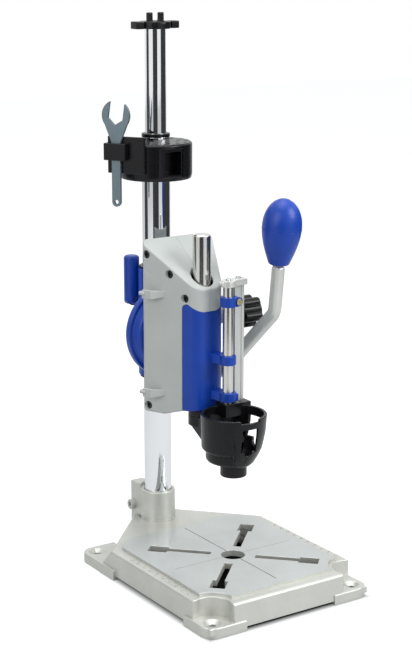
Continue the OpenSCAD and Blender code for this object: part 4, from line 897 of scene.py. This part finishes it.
@dataclass
class Studio:
    """White sweep, softboxes, and the dark flags that give chrome its bands."""

    aim_m: tuple[float, float, float] = (0.0, 0.0, 0.22)
    sky_light: float = 0.55
    floor_m: float = 8.0
    floor_drop: float = 0.2
    floor_glow: float = 1.44
    floor_glow_mirrored: float = 0.8
    floor_glow_share: float = 0.55
    flag_radius_m: float = 0.85
    flag_height_m: float = 0.55
    flag_steps: int = 12
    view_deg: float = 235.4
    flags_deg: tuple[tuple[float, float], ...] = ((-30, 22), (66, 150), (-110, -78))
    # Painted shade on the floor under the base: its half width, its depth range and how far it fades
    painted_shade_half_x: float = 77.0
    painted_shade_y: tuple[float, float] = (-100.0, 62.0)
    painted_shade_blend: float = 10.0

    def build(self) -> None:
        """Sets the world, the floor, the lamps and the flags."""
        self.world()
        self.floor()
        self.lamps()
        for i, (start, end) in enumerate(self.flags_deg):
            self.flag(i, start, end)
        bpy.context.scene.view_settings.view_transform = "Standard"

    def seen(self, tree: bpy.types.NodeTree) -> bpy.types.NodeSocket:
        """Adds the test for rays from the camera, straight or by way of metal or glass.

        Args:
            tree: Node tree that gets the test.

        Returns:
            A socket that is 1 for such rays and 0 for the rest.
        """
        path = add_node(tree, "ShaderNodeLightPath")
        first = add_node(tree, "ShaderNodeMath", {
            0: path.outputs["Is Camera Ray"], 1: path.outputs["Is Glossy Ray"]}, operation="MAXIMUM")
        both = add_node(tree, "ShaderNodeMath", {
            0: first.outputs["Value"], 1: path.outputs["Is Transmission Ray"]}, operation="MAXIMUM")
        return both.outputs["Value"]

    def world(self) -> None:
        """Makes a world that looks white and lights softly."""
        world = bpy.data.worlds.new("white_sweep")
        world.use_nodes = True
        tree = world.node_tree
        tree.nodes.clear()
        soft = add_node(tree, "ShaderNodeBackground", {
            "Color": linear("#F4F6F8"), "Strength": self.sky_light})
        white = add_node(tree, "ShaderNodeBackground", {"Color": (1.0, 1.0, 1.0, 1.0), "Strength": 1.0})
        mix = add_node(tree, "ShaderNodeMixShader", {
            0: self.seen(tree), 1: soft.outputs[0], 2: white.outputs[0]})
        add_node(tree, "ShaderNodeOutputWorld", {"Surface": mix.outputs[0]})
        bpy.context.scene.world = world

    def floor(self) -> None:
        """Lays a pale floor that looks white and keeps the stand's shadow, with painted shade under the
        base.
        """
        mesh = bmesh.new()
        bmesh.ops.create_grid(mesh, x_segments=1, y_segments=1, size=self.floor_m / 2)
        data = bpy.data.meshes.new("paper_floor")
        mesh.to_mesh(data)
        mesh.free()
        floor = bpy.data.objects.new("paper_floor", data)
        floor.location.z = -self.floor_drop * MM
        bpy.context.scene.collection.objects.link(floor)
        material, tree = new_material("white_paper_with_painted_shade")
        clear = self.outside_painted_shade(tree)
        # Painted shade: the floor's colour is dark under the base and fades to pale paper outside it
        paper = add_node(tree, "ShaderNodeMix", {
            "Factor": clear, "A": linear("#4A4B4B"), "B": linear("#EDEFF0")}, data_type="RGBA")
        matte = add_node(tree, "ShaderNodeBsdfDiffuse", {"Color": paper.outputs["Result"]})
        path = add_node(tree, "ShaderNodeLightPath")
        mirrored = add_node(tree, "ShaderNodeMix", {
            "Factor": path.outputs["Is Glossy Ray"], "A": self.floor_glow,
            "B": self.floor_glow_mirrored}, data_type="FLOAT")
        glow = add_node(tree, "ShaderNodeMath", {0: self.seen(tree), 1: clear}, operation="MULTIPLY")
        level = add_node(tree, "ShaderNodeMath", {
            0: glow.outputs["Value"], 1: mirrored.outputs["Result"]}, operation="MULTIPLY")
        lift = add_node(tree, "ShaderNodeEmission", {
            "Color": (1.0, 1.0, 1.0, 1.0), "Strength": level.outputs["Value"]})
        dim = add_node(tree, "ShaderNodeMixShader", {
            0: self.floor_glow_share, 1: matte.outputs[0], 2: lift.outputs[0]})
        add_node(tree, "ShaderNodeOutputMaterial", {"Surface": dim.outputs[0]})
        data.materials.append(material)

    def outside_painted_shade(self, tree: bpy.types.NodeTree) -> bpy.types.NodeSocket:
        """Adds the mask of the painted shade under the base, where the floor is painted dark and gets no
        glow.

        Args:
            tree: Node tree of the floor's material.

        Returns:
            A socket that is 0 under the base and 1 a little way outside it.
        """
        place = add_node(tree, "ShaderNodeTexCoord")
        split = add_node(tree, "ShaderNodeSeparateXYZ", {"Vector": place.outputs["Object"]})
        middle = sum(self.painted_shade_y) / 2 * MM
        reach = (self.painted_shade_y[1] - self.painted_shade_y[0]) / 2 * MM
        away = []
        for axis, start, half in (("X", 0.0, self.painted_shade_half_x * MM), ("Y", middle, reach)):
            shift = add_node(tree, "ShaderNodeMath", {
                0: split.outputs[axis], 1: start}, operation="SUBTRACT")
            size = add_node(tree, "ShaderNodeMath", {0: shift.outputs["Value"]}, operation="ABSOLUTE")
            out = add_node(tree, "ShaderNodeMath", {
                0: size.outputs["Value"], 1: half}, operation="SUBTRACT")
            away.append(out.outputs["Value"])
        far = add_node(tree, "ShaderNodeMath", {0: away[0], 1: away[1]}, operation="MAXIMUM")
        clear = add_node(tree, "ShaderNodeMapRange", {
            "Value": far.outputs["Value"], "From Min": 0.0, "From Max": self.painted_shade_blend * MM})
        return clear.outputs["Result"]

    def lamps(self) -> None:
        """Hangs the softboxes."""
        self.softbox("key_box", (0.85, -1.3, 1.2), 0.9, 21.0)
        self.softbox("fill_box", (-1.5, -0.5, 0.9), 1.0, 7.4)
        self.softbox("top_box", (0.0, 0.1, 1.7), 1.2, 13.0)

    def softbox(self, name: str, place: tuple[float, float, float], size_m: float, watts: float) -> None:
        """Hangs one square softbox aimed at the stand.

        Args:
            name: Name of the lamp.
            place: Its place in metres.
            size_m: Length of its side.
            watts: Its power.
        """
        lamp = bpy.data.lights.new(name, "AREA")
        lamp.size = size_m
        lamp.energy = watts
        obj = bpy.data.objects.new(name, lamp)
        obj.location = place
        aim = Vector(self.aim_m) - Vector(place)
        obj.rotation_euler = aim.to_track_quat("-Z", "Y").to_euler()
        bpy.context.scene.collection.objects.link(obj)

    def flag(self, index: int, start: float, end: float) -> None:
        """Stands one dark flag on the floor, for reflections alone.

        Args:
            index: Number of the flag.
            start: Where it begins, in degrees from the camera's side, positive to the right.
            end: Where it ends.
        """
        mesh = bmesh.new()
        rows = []
        for i in range(self.flag_steps + 1):
            angle = math.radians(self.view_deg + start + (end - start) * i / self.flag_steps)
            x = self.flag_radius_m * math.cos(angle)
            y = self.flag_radius_m * math.sin(angle)
            rows.append([mesh.verts.new((x, y, z)) for z in (0.0, self.flag_height_m)])
        for a, b in zip(rows, rows[1:]):
            mesh.faces.new((a[0], b[0], b[1], a[1]))
        data = bpy.data.meshes.new(f"flag_{index}")
        mesh.to_mesh(data)
        mesh.free()
        material, tree = new_material(f"black_felt_{index}")
        felt = add_node(tree, "ShaderNodeBsdfDiffuse", {"Color": linear("#46474A")})
        add_node(tree, "ShaderNodeOutputMaterial", {"Surface": felt.outputs[0]})
        data.materials.append(material)
        flag = bpy.data.objects.new(f"flag_{index}", data)
        for ray in ("visible_camera", "visible_diffuse", "visible_shadow", "visible_transmission"):
            setattr(flag, ray, False)
        bpy.context.scene.collection.objects.link(flag)


@dataclass
class PhotoCamera:
    """Camera at the photograph's place, found by fitting the column, base and quill."""

    place: tuple[float, float, float] = (-749.26, -1089.93, 554.65)
    yaw_deg: float = -33.542
    down_deg: float = 14.212
    focal_px: float = 1580.23
    centre_px: tuple[float, float] = (195.86, 339.67)
    sensor: float = 36.0
    near_m: float = 0.05

    def build(self) -> None:
        """Makes the camera and sets it as the scene's."""
        width, height = IMAGE_PX
        data = bpy.data.cameras.new("photo_camera")
        data.sensor_width = self.sensor
        data.lens = self.focal_px * self.sensor / height
        data.shift_x = (width / 2 - self.centre_px[0]) / height
        data.shift_y = (self.centre_px[1] - height / 2) / height
        data.clip_start = self.near_m
        camera = bpy.data.objects.new("photo_camera", data)
        camera.location = mm(*self.place)
        camera.rotation_euler = (math.radians(90 - self.down_deg), 0.0, math.radians(self.yaw_deg))
        bpy.context.scene.collection.objects.link(camera)
        bpy.context.scene.camera = camera


def main() -> None:
    """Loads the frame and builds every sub-assembly."""
    logging.basicConfig(level=logging.INFO, format="%(name)s: %(message)s")
    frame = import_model()
    PhotoCamera().build()
    Studio().build()
    shop = Workshop(frame["nodes"])
    for part in (BaseCasting, ColumnAndMast, Carriage, Head, Feed, Quill):
        part(shop).build()
        log.info("finished %s", part.__name__)


if __name__ == "__main__":
    main()
